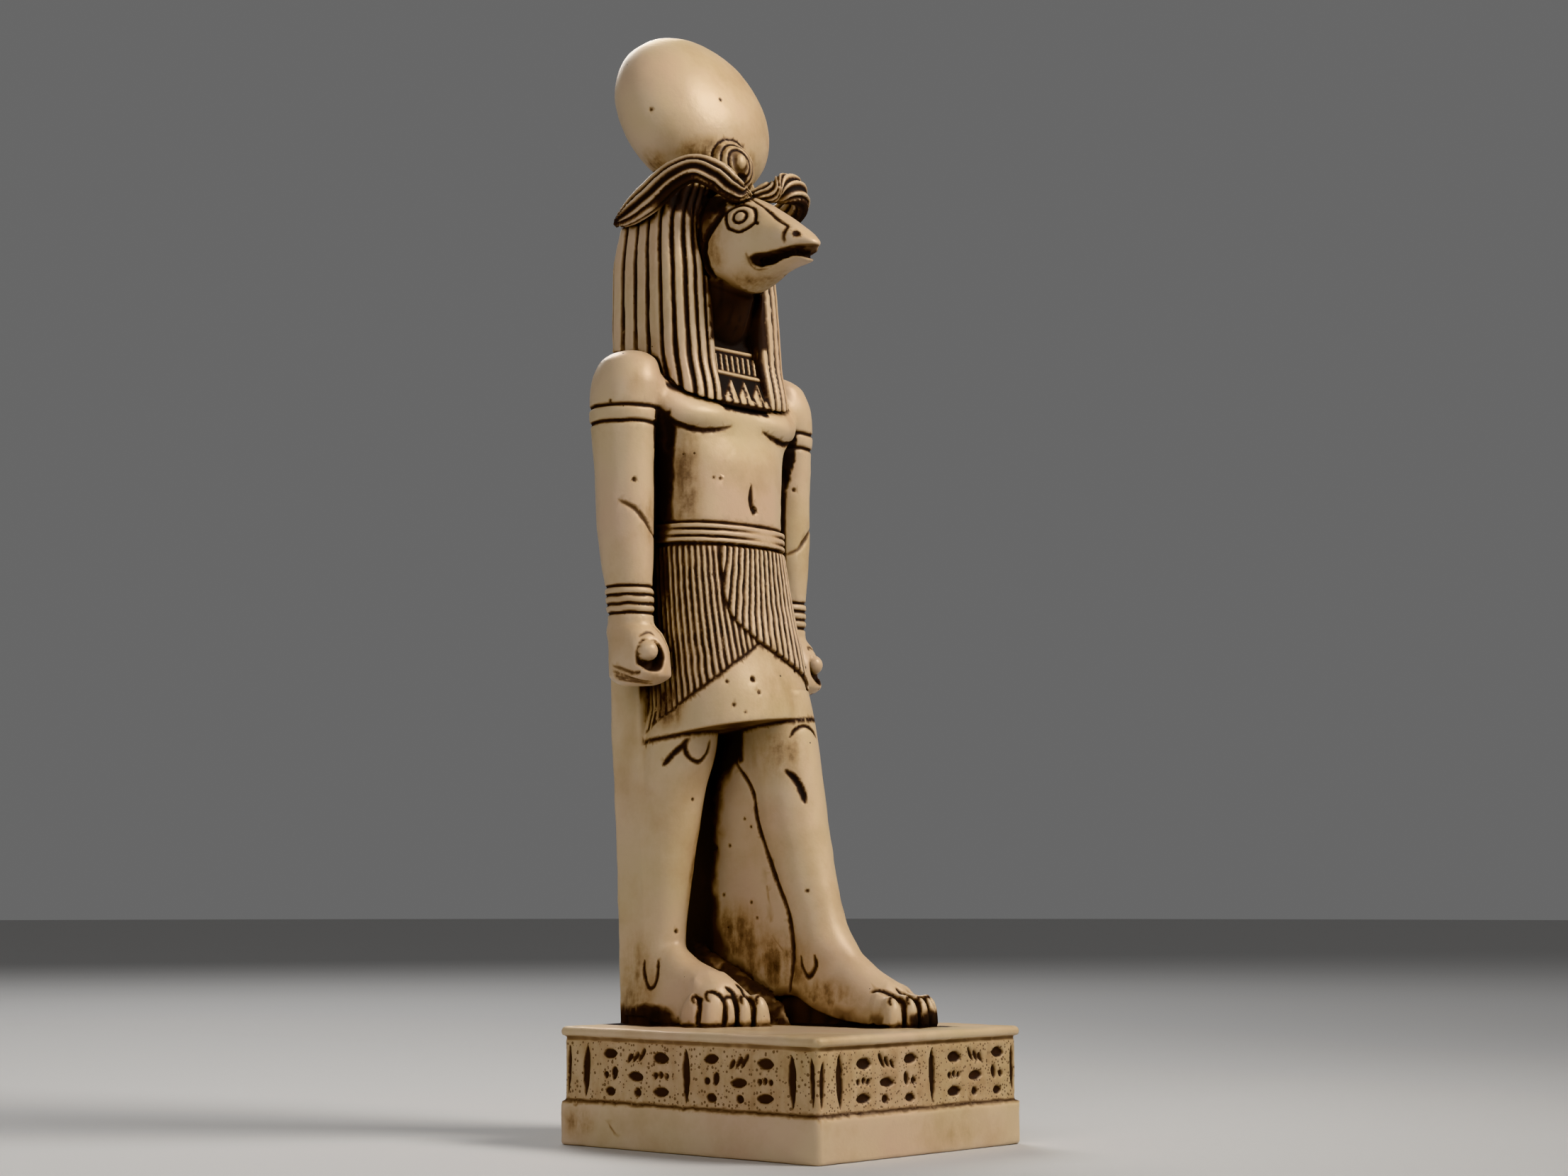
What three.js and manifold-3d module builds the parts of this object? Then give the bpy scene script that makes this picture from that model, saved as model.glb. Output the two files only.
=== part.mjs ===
// Khnum statue: a ram-headed walking figure with a sun disc, cast in one piece with its back pillar and
// plinth. Millimetres, +Z up. The figure faces -Y, and the middle of the plinth's underside is at 0, 0, 0.
import * as THREE from "three";
import { mergeVertices } from "three/addons/utils/BufferGeometryUtils.js";
import Module from "manifold-3d";

const wasm = await Module();
wasm.setup();

// Plinth
const PLINTH_W = 65.6;
const PLINTH_L = 72;
const SLAB_TOP = 8.8;
const BAND_TOP = 22.2;
const PLINTH_TOP = 24.6;
const BAND_INSET = 0.6;
const CORNER_R = 1.4;
const SIGN_DEPTH = 0.8;

// Levels up the figure
const HEM_Z = 89.5;
const BELT_Z = [126, 131];
const COLLAR_Z = [158, 171];

// Colour of the casting
const IVORY = 0xd9c8a6;

// Geometry helpers

const V = (x, y, z) => new THREE.Vector3(x, y, z);

function solid(geometry) {
  const g0 = geometry.index ? geometry.clone() : geometry;
  for (const name of ["normal", "uv"]) if (g0.getAttribute(name)) g0.deleteAttribute(name);
  const g = mergeVertices(g0, 1e-4);
  const p = g.getAttribute("position").array;
  const t = Array.from(g.index.array);
  let volume = 0;
  const at = (i) => V(p[3 * i], p[3 * i + 1], p[3 * i + 2]);
  for (let i = 0; i < t.length; i += 3) volume += at(t[i]).dot(at(t[i + 1]).cross(at(t[i + 2])));
  if (volume < 0) for (let i = 0; i < t.length; i += 3) [t[i], t[i + 1]] = [t[i + 1], t[i]];
  return new wasm.Manifold(
    new wasm.Mesh({ numProp: 3, vertProperties: new Float32Array(p), triVerts: new Uint32Array(t) })
  );
}

// A closed skin through rings that all have the same number of points, capped at both ends.
function loft(rings) {
  const n = rings[0].length;
  const points = rings.flat();
  const ends = [rings[0], rings[rings.length - 1]].map((r) =>
    r.reduce((a, b) => a.clone().add(b)).divideScalar(n)
  );
  const index = [];
  for (let k = 0; k + 1 < rings.length; k++)
    for (let i = 0; i < n; i++) {
      const j = (i + 1) % n;
      const [a, b, c, d] = [k * n + i, k * n + j, (k + 1) * n + j, (k + 1) * n + i];
      index.push(a, b, c, a, c, d);
    }
  const [low, high] = [points.length, points.length + 1];
  for (let i = 0; i < n; i++) {
    const j = (i + 1) % n;
    index.push(low, j, i, high, (rings.length - 1) * n + i, (rings.length - 1) * n + j);
  }
  const g = new THREE.BufferGeometry();
  g.setFromPoints([...points, ...ends]);
  g.setIndex(index);
  return solid(g);
}

const power = (v, e) => Math.sign(v) * Math.abs(v) ** e;

// A superellipse of n points in the plane through centre c with directions u and v.
function oval(c, u, v, ru, rv, n, square = 2, turn = 0) {
  return Array.from({ length: n }, (_, i) => {
    const a = ((i + turn) / n) * 2 * Math.PI;
    const [s, t] = [power(Math.cos(a), 2 / square) * ru, power(Math.sin(a), 2 / square) * rv];
    return c.clone().addScaledVector(u, s).addScaledVector(v, t);
  });
}

const [X, Y, Z] = [V(1, 0, 0), V(0, 1, 0), V(0, 0, 1)];

// Level sections, each [z, x, y, half width, half depth, squareness].
const upright = (rows, n) =>
  loft(rows.map(([z, x, y, rx, ry, q = 2]) => oval(V(x, y, z), X, Y, rx, ry, n, q)));

// Sections across Y, each [y, x, half width, lowest z, highest z, squareness].
const forward = (rows, n) =>
  loft(rows.map(([y, x, r, z0, z1, q = 2]) => oval(V(x, y, (z0 + z1) / 2), X, Z, r, (z1 - z0) / 2, n, q)));

function ball(x, y, z, rx, ry, rz, n = 12, tilt = 0) {
  const g = new THREE.SphereGeometry(1, n, Math.round(n * 0.6));
  g.rotateX(Math.PI / 2).scale(rx, ry, rz).rotateX(tilt).translate(x, y, z);
  return solid(g);
}

function box(x0, x1, y0, y1, z0, z1) {
  return solid(
    new THREE.BoxGeometry(x1 - x0, y1 - y0, z1 - z0).translate((x0 + x1) / 2, (y0 + y1) / 2, (z0 + z1) / 2)
  );
}

// A flat outline in the Y-Z plane, pushed out along X.
function sideways(outline, x0, x1) {
  const shape = new THREE.Shape(outline.map(([y, z]) => new THREE.Vector2(y, z)));
  const g = new THREE.ExtrudeGeometry(shape, { depth: x1 - x0, bevelEnabled: false });
  g.applyMatrix4(new THREE.Matrix4().makeBasis(Y, Z, X)).translate(x0, 0, 0);
  return solid(g);
}

const join = (...parts) => parts.flat().reduce((a, b) => a.add(b));
const cut = (body, ...tools) => tools.flat().reduce((a, b) => a.subtract(b), body);
const mirror = (rows) => rows.map(([z, x, ...rest]) => [z, -x, ...rest]);

// Plinth: slab, sunk band with rows of strokes, and a half-round lip round the top

function roundedRect(w, l, r, z, n = 3) {
  const ring = [];
  for (const [k, sx, sy] of [[0, 1, 1], [1, -1, 1], [2, -1, -1], [3, 1, -1]])
    for (let i = 0; i <= n; i++) {
      const a = ((k + i / n) * Math.PI) / 2;
      ring.push(V(sx * (w / 2 - r) + r * Math.cos(a), sy * (l / 2 - r) + r * Math.sin(a), z));
    }
  return ring;
}

function plinth() {
  const lip = PLINTH_TOP - BAND_TOP;
  const rows = [
    [0, 0.5], [0.8, 0], [SLAB_TOP - 0.7, 0], [SLAB_TOP, 0.4], [SLAB_TOP, BAND_INSET],
    [BAND_TOP, BAND_INSET], [BAND_TOP + 0.15 * lip, 0.15], [BAND_TOP + 0.5 * lip, -0.1],
    [BAND_TOP + 0.85 * lip, 0.2], [PLINTH_TOP, 0.8],
  ];
  return loft(rows.map(([z, inset]) => roundedRect(PLINTH_W - 2 * inset, PLINTH_L - 2 * inset, CORNER_R, z)));
}

// The strokes of the band stand in columns. Each is [across, lowest z, width, height].
function strokes(length, columns) {
  const out = [];
  const step = length / columns;
  for (let i = 0; i < columns; i++) {
    const u = -length / 2 + (i + 0.5) * step;
    const kind = i % 4;
    if (kind === 0) out.push([u, 10.4, 1.1, 10]);
    if (kind === 1) out.push([u, 17.2, 4.2, 1.6], [u, 12, 4.2, 1.6]);
    if (kind === 2) out.push([u, 10.6, 1.3, 5.6], [u, 18, 3.8, 2.2]);
    if (kind === 3) out.push([u, 15.8, 1.4, 4.8], [u, 11, 3.8, 2.4]);
  }
  return out;
}

function signs() {
  const [fx, fy] = [PLINTH_W / 2 - BAND_INSET, PLINTH_L / 2 - BAND_INSET];
  const front = strokes(PLINTH_W - 8, 8).map(([u, z, w, h]) =>
    [u - w / 2, u + w / 2, -fy - 1, -fy + SIGN_DEPTH, z, z + h]);
  const right = strokes(PLINTH_L - 8, 9).map(([u, z, w, h]) =>
    [-fx - 1, -fx + SIGN_DEPTH, u - w / 2, u + w / 2, z, z + h]);
  const left = strokes(PLINTH_L - 8, 5).map(([u, z, w, h]) =>
    [fx - SIGN_DEPTH, fx + 1, u - w / 2, u + w / 2, z, z + h]);
  const back = strokes(PLINTH_W - 8, 4).map(([u, z, w, h]) =>
    [u - w / 2, u + w / 2, fy - SIGN_DEPTH, fy + 1, z, z + h]);
  return [...front, ...right, ...left, ...back].map((b) => box(...b));
}

// Legs, feet and the wall that fills the space between them

const REAR_LEG = [
  [25, -10.5, 28.5, 5.8, 7], [34, -10.4, 28, 5, 6], [43, -10.1, 27.3, 4.7, 4.8], [54, -10, 27, 5.5, 5.7],
  [65, -10, 26.3, 6.5, 6.7], [74, -9.9, 25.3, 7.1, 7.4], [83, -9.6, 23.4, 7.9, 8.2],
    [94, -8.6, 22, 7.4, 7.6],
];
const FRONT_LEG = [
  [25, 9.4, 1, 5.6, 8], [34, 9.2, -0.8, 5.9, 7.6], [40, 9, -2, 6.2, 7.4], [46, 9, 0.2, 5.9, 6.3],
  [56, 9, 3.6, 6.5, 6.7], [67, 9, 7, 7.4, 7.7], [75.5, 9, 8.5, 7.5, 7.8], [83, 9, 10.3, 7.9, 8.3],
    [96, 8, 13, 8.4, 8.4],
];

// A foot from heel to ball in rows [y, x, half width, top z], with five toes [x, tip y, half width, length].
function foot({ rows, toes }) {
  const low = PLINTH_TOP - 0.4;
  const body = forward(rows.map(([y, x, r, z1]) => [y, x, r, 2 * low - z1, z1, 2.4]), 12);
  const digits = toes.map(([x, y, r, length]) => {
    const c = (back, k, z0, z1) => oval(V(x, y + back, (z0 + z1) / 2), X, Z, r * k, (z1 - z0) / 2, 6, 2.2);
    return loft([
      c(length, 1, low, 32.6), c(2, 1, low, 31), c(0.5, 0.9, low + 0.9, 29.9), c(0, 0.5, low + 2, 28.6),
    ]);
  });
  return join(body, digits);
}

const FEET = {
  rear: {
    rows: [[34, -10.6, 5, 34], [28, -10.6, 5.8, 42], [23, -10.6, 6.2, 41.2], [17.8, -10.7, 6.6, 38.2],
      [12, -10.8, 7, 36], [7.4, -10.8, 7.3, 33.4]],
    toes: [[-5.7, 1.8, 2.3, 8], [-9.4, 3.2, 1.75, 8], [-12.4, 5, 1.7, 7], [-15.1, 7.2, 1.6, 6],
      [-17.4, 9.6, 1.5, 5]],
  },
  front: {
    rows: [[6.5, 9.2, 4.6, 34], [2, 9.2, 5.8, 42], [-4, 9.4, 6.3, 43.4], [-8.4, 9.8, 6.4, 41],
      [-13.4, 10.5, 6.9, 36.8], [-19.4, 11.4, 7.5, 33]],
    toes: [[6.2, -24.4, 2.3, 6], [9.7, -26, 1.75, 8], [12.6, -26.6, 1.7, 8], [15.2, -26.4, 1.6, 8],
      [17.5, -25.2, 1.5, 7]],
  },
};

function legs() {
  const wall = loft(
    [[24, 3.4, 1], [46, 3.4, 0], [56, 3, 4], [67, 2.4, 7], [83, 1.8, 10], [96, 1, 13]].map(
      ([z, x, y]) => [V(x, y, z), V(13, y, z), V(13, 36, z), V(x, 36, z)]
    )
  );
  const behind = loft(
    [[24, -14], [60, -15], [83, -16]].map(([z, x]) => [V(x, 26, z), V(4, 26, z), V(4, 36, z), V(x, 36, z)])
  );
  return join(
    upright(REAR_LEG, 14), upright(FRONT_LEG, 14), wall, behind,
    foot(FEET.rear), foot(FEET.front)
  );
}

// Back pillar

function pillar() {
  return loft(
    [[24, 14.6], [62, 16.4], [98, 18.4], [160, 18.2], [176, 17]].map(([z, w]) => [
      V(-w, 27, z), V(w, 27, z), V(w, 36.2, z), V(-w, 36.2, z),
    ])
  );
}

// Torso with the breast muscles and the belt

const TORSO = [
  [120, 0, 22, 16.6, 11, 2.4], [136, 0, 22, 16.3, 11, 2.4], [144, 0, 22, 16.9, 10.8, 2.4],
  [151, 0, 22.5, 19.4, 10, 2.5], [156, 0, 23.6, 23, 10.8, 3], [161, 0, 24.8, 25, 10.8, 2.8],
  [166, 0, 26.4, 24.6, 9.4, 2.4], [170.5, 0, 28, 21, 7, 2],
];

function torso() {
  const breasts = [-1, 1].map((s) => ball(s * 10.8, 21.4, 158.4, 11.8, 9.6, 6, 8));
  const navel = ball(0, 10.9, 136.6, 0.8, 1.1, 3.4, 6);
  return cut(join(upright(TORSO, 20), breasts), navel);
}

function belt() {
  const [z0, z1] = BELT_Z;
  const step = (z1 - z0) / 3;
  const rows = [[z0, 0.1], [z0 + 0.5, 0.7]];
  for (let i = 1; i < 3; i++) {
    const z = z0 + i * step;
    rows.push([z - 0.4, 0.7], [z, 0.1], [z + 0.4, 0.7]);
  }
  rows.push([z1 - 0.3, 0.7], [z1, 0.1]);
  return upright(rows.map(([z, out]) => [z, 0, 22, 16.8 + out, 11 + out, 2.4]), 18);
}

// Kilt: two pleated panels that cross in front and the smooth apron below them

const KILT = [
  [80, 1.8, 19, 18.4, 16.6, 2.5], [90, 1.6, 19.2, 18.3, 16, 2.5], [102, 1, 20, 18, 14.2, 2.5],
  [114, 0.4, 21.2, 17.5, 12.5, 2.5], [127.5, 0, 22, 17, 11.2, 2.4],
];
const PLEATS = 31;
const PLEAT_DEPTH = 0.55;

// The rows' outline at each level, with every second point drawn in by the pleat depth.
function fluted(rows, folds, depth, rear) {
  return loft(
    rows.map(([z, x, y, rx, ry, q]) => {
      const front = oval(V(x, y, z), X, Y, rx, ry, 720, q);
      const back = oval(V(x, y, z), X, Y, rx, ry, 720, rear || q);
      const fine = front.map((p, i) => (i < 360 ? back[i] : p));
      const run = [0];
      fine.forEach((p, i) => run.push(run[i] + p.distanceTo(fine[(i + 1) % 720])));
      const total = run[720];
      return Array.from({ length: 2 * folds }, (_, i) => {
        const want = ((i + 0.5) / (2 * folds)) * total;
        const k = run.findIndex((r) => r > want) - 1;
        const p = fine[k].clone().lerp(fine[(k + 1) % 720], (want - run[k]) / (run[k + 1] - run[k]));
        if (i % 2) p.add(V(x - p.x, y - p.y, 0).setLength(depth));
        return p;
      });
    })
  );
}

// Outlines in the X-Z plane seen from the front: both panels together, and the panel that lies on top.
const PANELS = [
  [-40, 60], [-17.4, 85], [-16.8, 90.4], [-15.1, 94.5], [-11.6, 99], [-7, 102.2], [-2.4, 105.4], [5, 102.5],
  [9.8, 99.6], [14, 96.5], [19, 92], [40, 80], [40, 140], [-40, 140],
];
const FLAP = [[-8.5, 140], [-8.7, 116], [-6.5, 110], [-2.4, 105.4], [5, 102.5], [9.8, 99.6], [14, 96.5],
  [19, 92], [40, 80], [40, 140]];

// An outline in the X-Z plane, pushed back through the kilt from the front to the middle of its side.
function frontal(outline, y1) {
  const g = new THREE.ExtrudeGeometry(new THREE.Shape(outline.map(([x, z]) => new THREE.Vector2(x, z))), {
    depth: y1 + 20, bevelEnabled: false,
  });
  return solid(g.rotateX(Math.PI / 2).translate(0, y1, 0));
}

const grown = (rows, d) => rows.map(([z, x, y, rx, ry, q]) => [z, x, y, rx + d, ry + d, q]);

function kilt() {
  const apron = upright(grown(KILT, -0.4), 20);
  const under = fluted(KILT, PLEATS, PLEAT_DEPTH).intersect(frontal(PANELS, 38));
  const over = fluted(grown(KILT, 0.55), PLEATS, PLEAT_DEPTH).intersect(frontal(FLAP, 27));
  const below = V(0.076, -0.134, -1).normalize();
  const slab = new THREE.BoxGeometry(90, 90, 30).translate(0, 0, -15);
  slab.applyQuaternion(new THREE.Quaternion().setFromUnitVectors(V(0, 0, -1), below)).translate(0, 0, HEM_Z);
  return cut(join(apron, under, over), solid(slab));
}

// Arms with armlet and wrist bands, fists and the rods in them

const ARM = [
  [168, -22.5, 26, 4, 4.6], [165, -23.6, 25.6, 6.2, 6.8], [160, -24.5, 25.4, 7.3, 8],
    [154, -25, 25.2, 7.1, 7.8],
  [143, -25.1, 24.8, 6.4, 6.9], [131, -25, 24.4, 6.2, 6.6], [124, -24.8, 24, 5.7, 6.2],
  [117, -24.6, 23.8, 5, 5.5], [110, -24.4, 23.6, 4.6, 5.1], [106, -24.4, 23.4, 4.8, 5.4],
];
const ARMLET = [155.2, 151.8];
const WRIST = [116.8, 114.9, 113, 111.1];
const ROD = { r: 2.15, x: 25.8, z: 102.8, y: [15.4, 25] };

function arm(side) {
  const at = (z) => {
    const k = Math.max(1, ARM.findIndex((row) => row[0] <= z));
    const [a, b] = [ARM[k - 1], ARM[k]];
    const t = (z - a[0]) / (b[0] - a[0]);
    return a.map((v, i) => v + t * (b[i] - v));
  };
  const grooves = [
    ...ARMLET.flatMap((z) => [0.42, 0, -0.42].map((d) => [z + d, d ? 0 : 0.5])),
    ...WRIST.flatMap((z) => [[z + 0.8, -0.1], [z, 0.5]]), [WRIST[3] - 0.6, 0],
  ];
  const rows = [...ARM.map((r) => [r[0], 0]), ...grooves]
    .sort((a, b) => b[0] - a[0])
    .map(([z, inset]) => {
      const [, x, y, rx, ry] = at(z);
      return [z, side * -x, y, rx - inset, ry - inset];
    });
  const fist = upright(
    [[109, 23.6, 4.6, 4.8, 2.2], [106.5, 22.4, 5.2, 5.8, 2.4], [102.5, 21.3, 5.4, 6.5, 2.6],
      [98, 21, 5.4, 6.7, 2.6],
      [95.8, 21.4, 4.4, 5.4, 2.4]].map(([z, ...rest]) => [z, side * 24.2, ...rest]), 12
  );
  const [x, z] = [side * ROD.x, ROD.z];
  const bar = new THREE.CylinderGeometry(ROD.r, ROD.r, ROD.y[1] - ROD.y[0],
    10).translate(x, (ROD.y[0] + ROD.y[1]) / 2, z);
  const socket = loft([[10, 3.6], [17.2, 3.2]].map(([y, r]) => oval(V(x, y, z), X, Z, r, r, 10)));
  const web = loft([[103, 22], [118, 22.5], [160, 23]].map(([z, w]) =>
    [V(side * 14, 24.5, z), V(side * w, 24.5, z), V(side * w, 30, z), V(side * 14, 32, z)]));
  return join(cut(join(upright(rows, 10), fist), socket), solid(bar), web);
}

// Wig: a striped block round the head with a face opening and two lappets on the chest

const WIG = [
  [152, 0, 25.2, 18.2, 12.7, 4.2], [176, 0, 25.2, 18.5, 12.6, 4], [190, 0, 25.3, 18.3, 12.4, 3.8],
  [200, 0, 25, 16.8, 12, 3.2], [208.5, 0, 24.5, 13.2, 10.8, 2.5],
  [215, 0, 24.8, 7, 6.8, 2.2],
];
const WIG_STRIPES = 29;
const WIG_BACK = 9;
// The lower edge of the wig over chest and shoulder, seen from the side, each [y, z].
const WIG_EDGE = [[5, 157.6], [14, 157.6], [18, 159.6], [23.3, 163.6], [27, 167], [31, 170.4], [40, 172]];
const LAPPET_GAP = 6.6;

function wig() {
  const below = sideways([[0, 140], ...WIG_EDGE, [40, 140]].reverse(), -30, 30);
  const opening = loft([[150, LAPPET_GAP, 18.6], [176, LAPPET_GAP + 0.4, 18.6], [182, 8.4, 18.6],
    [190, 9.6, 18.6], [199, 9.4, 18.6], [206, 7, 18]].map(
    ([z, w, y]) => [V(-w, 0, z), V(w, 0, z), V(w, y, z), V(-w, y, z)]
  ));
  return cut(fluted(WIG, WIG_STRIPES, 0.6, WIG_BACK), below, opening);
}

// Collar on the chest and throat between the lappets

function collar() {
  const [z0, z1] = COLLAR_Z;
  const lean = 0.4;
  const y = (z) => 12.4 + lean * (z - z0);
  const plate = sideways([[y(z0 - 1), z0 - 1], [26, z0 - 1], [26, z1 + 4],
    [y(z1) + 1.4, z1]].reverse(), -LAPPET_GAP - 1, LAPPET_GAP + 1);
  const nick = (x, z, w, h) => {
    const g = new THREE.BoxGeometry(w, 1.2, h).rotateX(-Math.atan(lean)).translate(x, y(z), z);
    return solid(g);
  };
  const tools = [nick(0, 170.2, 16, 0.7), nick(0, 165, 16, 0.7), nick(0, 159, 16, 0.6)];
  for (let i = 0; i < 7; i++) tools.push(nick(-6 + 2 * i, 167.6, 0.8, 3));
  for (let i = 0; i < 4; i++) {
    const g = new THREE.CylinderGeometry(1.7, 1.7, 1.2, 3).rotateX(-Math.atan(lean));
    tools.push(solid(g.translate(-6 + 4 * i, y(162), 162)));
  }
  const neck = upright([[166, 0, 22, 6.4, 5.4], [176, 0, 20.6, 6, 6], [186, 0, 19, 7.4, 7]], 12);
  return join(cut(plate, tools), neck);
}

// Ram's head

const HEAD = [
  [24, 0, 9.8, 183, 206.4, 2.2], [16, 0, 9.8, 182.6, 205.8, 2.2], [12, 0, 9.5, 182.6, 204.4, 2.2],
  [8, 0, 8.6, 184, 202.5, 2.3], [4, 0, 7.2, 185.7, 200.2, 2.3], [0, 0, 5.8, 186.9, 197.5, 2.3],
  [-2.6, 0, 4.9, 187.7, 195.6, 2.4], [-4.6, 0, 4.1, 188.2, 194, 2.4], [-5.8, 0, 3.1, 188.6, 193, 2.3],
];

function head() {
  const skull = forward(HEAD, 13);
  const mouth = [-1, 1].map((s) => {
    const slit = sideways([[6.5, 188], [-9, 190.6], [-9, 189], [4, 187.2]], 2, 9);
    return s > 0 ? slit : slit.mirror([1, 0, 0]);
  });
  const lips = sideways([[-4.6, 189.9], [-9, 190.6], [-9, 189], [-4.6, 188.9]], -4, 4);
  const eyes = [-1, 1].flatMap((s) => {
    const facing = new THREE.Quaternion().setFromUnitVectors(Z, V(s * 0.92, -0.3, 0.24).normalize());
    const place = (g) => solid(g.applyQuaternion(facing).translate(s * 7.8, 7.3, 197.9));
    return [place(new THREE.TorusGeometry(2.9, 0.55, 3, 10)), place(new THREE.SphereGeometry(1.5, 7, 5))];
  });
  const nostrils = [-1, 1].map((s) => ball(s * 3.2, -4.6, 192, 0.9, 0.8, 0.7, 6));
  const ridge = sideways([[8, 202.4], [-2, 195.6], [-2, 197.6], [8, 204.4]], -0.3, 0.3);
  return cut(join(skull, eyes), mouth, lips, nostrils, ridge);
}

// Horns: ridged ribbons that spring from the brow, arch outward and sweep back down the sides of the wig

// The middle line of one horn, each [x, y, z, half height, half thickness].
const HORN = [
  [2.6, 11.3, 203, 1.9, 1.7], [6, 9.6, 203.4, 2.3, 2], [9.6, 9.1, 204.6, 2.8, 2.2], [12.8, 10.3, 206.4, 3.1, 2.3],
  [16.2, 13.2, 207.6, 3.2, 2.3], [18.6, 17.4, 206, 3.5, 2.2], [19.2, 24, 202.4, 3.8, 2],
  [18.6, 30, 200.2, 3.1, 1.8], [17.6, 35.4, 199, 1.6, 1.2],
];
const HORN_RIDGES = 7;

function horn(side) {
  const path = new THREE.CatmullRomCurve3(HORN.map(([x, y, z]) => V(side * x, y, z)));
  const rings = [];
  const steps = 10;
  for (let k = 0; k <= steps; k++) {
    const t = k / steps;
    const c = path.getPoint(t);
    const along = path.getTangent(t);
    const out = V(side, -0.35, 0.25).addScaledVector(along, -V(side, -0.35, 0.25).dot(along)).normalize();
    const up = out.clone().cross(along).normalize();
    const f = t * (HORN.length - 1);
    const i = Math.min(Math.floor(f), HORN.length - 2);
    const size = [3, 4].map((j) => HORN[i][j] + (f - i) * (HORN[i + 1][j] - HORN[i][j]));
    rings.push(
      Array.from({ length: 2 * HORN_RIDGES }, (_, j) => {
        const a = (j / HORN_RIDGES) * Math.PI;
        const deep = j % 2 ? 0.78 : 1;
        const [rise, bulge] = [Math.cos(a) * size[0] * deep, Math.sin(a) * size[1] * deep];
        return c.clone().addScaledVector(up, rise).addScaledVector(out, bulge);
      })
    );
  }
  return loft(rings);
}

// Sun disc, a thick lens that leans back, and the oval boss with its rounds in front of it

const DISC = { y: 29.1, z: 224.8, rx: 20.8, thick: 12.2, rz: 19.6, lean: -0.4 };

function crown() {
  const disc = ball(0, DISC.y, DISC.z, DISC.rx, DISC.thick, DISC.rz, 18, DISC.lean);
  const boss = join(ball(-0.8, 13.4, 209.2, 2.2, 1.6, 2.6, 6), ball(-0.6, 17.6, 209.2, 6, 4.8, 5.6, 8));
  const seat = upright([[204, 0, 27, 10, 8], [212, 0, 27.4, 9.6, 8], [220, 0, 28.6, 8.4, 7]], 12);
  return join(disc, boss, seat);
}

// The casting

const casting = join(
  cut(plinth(), signs()), legs(), pillar(), torso(), belt(), kilt(), arm(-1), arm(1),
  wig(), collar(), head(), horn(-1), horn(1), crown()
);

function meshOf(manifold, name) {
  const { vertProperties, triVerts } = manifold.getMesh();
  const g = new THREE.BufferGeometry();
  g.setAttribute("position", new THREE.BufferAttribute(new Float32Array(vertProperties), 3));
  g.setIndex(Array.from(triVerts));
  g.computeVertexNormals();
  const ivory = new THREE.MeshStandardMaterial({ color: IVORY, roughness: 0.45, metalness: 0 });
  const mesh = new THREE.Mesh(g, ivory);
  mesh.name = name;
  return mesh;
}

const statue = new THREE.Group();
statue.name = "khnum_statue";
statue.add(meshOf(casting, "statue_casting"));
export default statue;
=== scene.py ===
# %% [markdown]
# # A ram-headed walking figure, cast in one piece
# The real object is a small souvenir: a striding figure with a ram's head, a striped wig, a pleated kilt and
# a sun disc, on a plinth with a band of sunk strokes. It was poured into a rubber mould, brushed with a thin
# dark brown wash, and wiped, so that the brown stays in every groove and the high places are bare ivory.
# A casting is one skin without seams, so here it is worked like one lump of clay and skinned once at the end.
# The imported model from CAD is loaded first. It fixes the place and the size of everything that follows.

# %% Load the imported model
import math

import bpy
import numpy as np
from mathutils import Matrix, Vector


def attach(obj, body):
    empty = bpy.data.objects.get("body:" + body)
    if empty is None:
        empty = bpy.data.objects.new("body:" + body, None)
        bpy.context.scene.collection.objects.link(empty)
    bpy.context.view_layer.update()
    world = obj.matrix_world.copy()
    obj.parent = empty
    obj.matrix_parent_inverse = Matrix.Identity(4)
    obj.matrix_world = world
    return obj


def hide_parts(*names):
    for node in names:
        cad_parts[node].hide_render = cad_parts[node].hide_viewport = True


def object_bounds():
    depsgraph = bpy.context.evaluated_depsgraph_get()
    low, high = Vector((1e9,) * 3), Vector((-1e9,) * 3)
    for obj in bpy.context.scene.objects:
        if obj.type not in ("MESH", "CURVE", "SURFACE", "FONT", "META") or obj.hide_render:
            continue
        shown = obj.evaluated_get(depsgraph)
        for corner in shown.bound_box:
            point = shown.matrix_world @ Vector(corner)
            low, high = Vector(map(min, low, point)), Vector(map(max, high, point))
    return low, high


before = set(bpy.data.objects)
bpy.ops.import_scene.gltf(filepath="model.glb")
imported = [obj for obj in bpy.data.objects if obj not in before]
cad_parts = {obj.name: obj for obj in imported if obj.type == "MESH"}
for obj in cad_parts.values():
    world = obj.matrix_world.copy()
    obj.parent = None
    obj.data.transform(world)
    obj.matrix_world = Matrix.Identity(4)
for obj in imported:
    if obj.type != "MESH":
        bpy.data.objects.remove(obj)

cad_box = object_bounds()
print("box of the solids, mm:", [[round(v * 1000, 2) for v in corner] for corner in cad_box])

# %% [markdown]
# ## The block of clay
# Blender can sculpt by hand, but a script needs another way. This one keeps a block of space as numbers: at
# every grain of it, the distance in millimetres to the surface, below zero inside the clay. Forms are pressed
# on by keeping the smaller distance, and cut away by keeping the larger. A second block remembers how much
# brown a tool left at each place: wash in the grooves, and painted shade in hollows, under overhangs and
# between parts. Both are in the CAD's frame: Z is up and the figure faces -Y.

# %% The block of clay
GRAIN = 0.3
AIR = 3.0
LOW = np.array([-34.0, -37.6, -1.3])
HIGH = np.array([34.0, 43.8, 244.9])
COUNTS = np.ceil((HIGH - LOW) / GRAIN).astype(int) + 1
AXES = [(LOW[i] + GRAIN * np.arange(COUNTS[i])).astype(np.float32) for i in range(3)]

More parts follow.
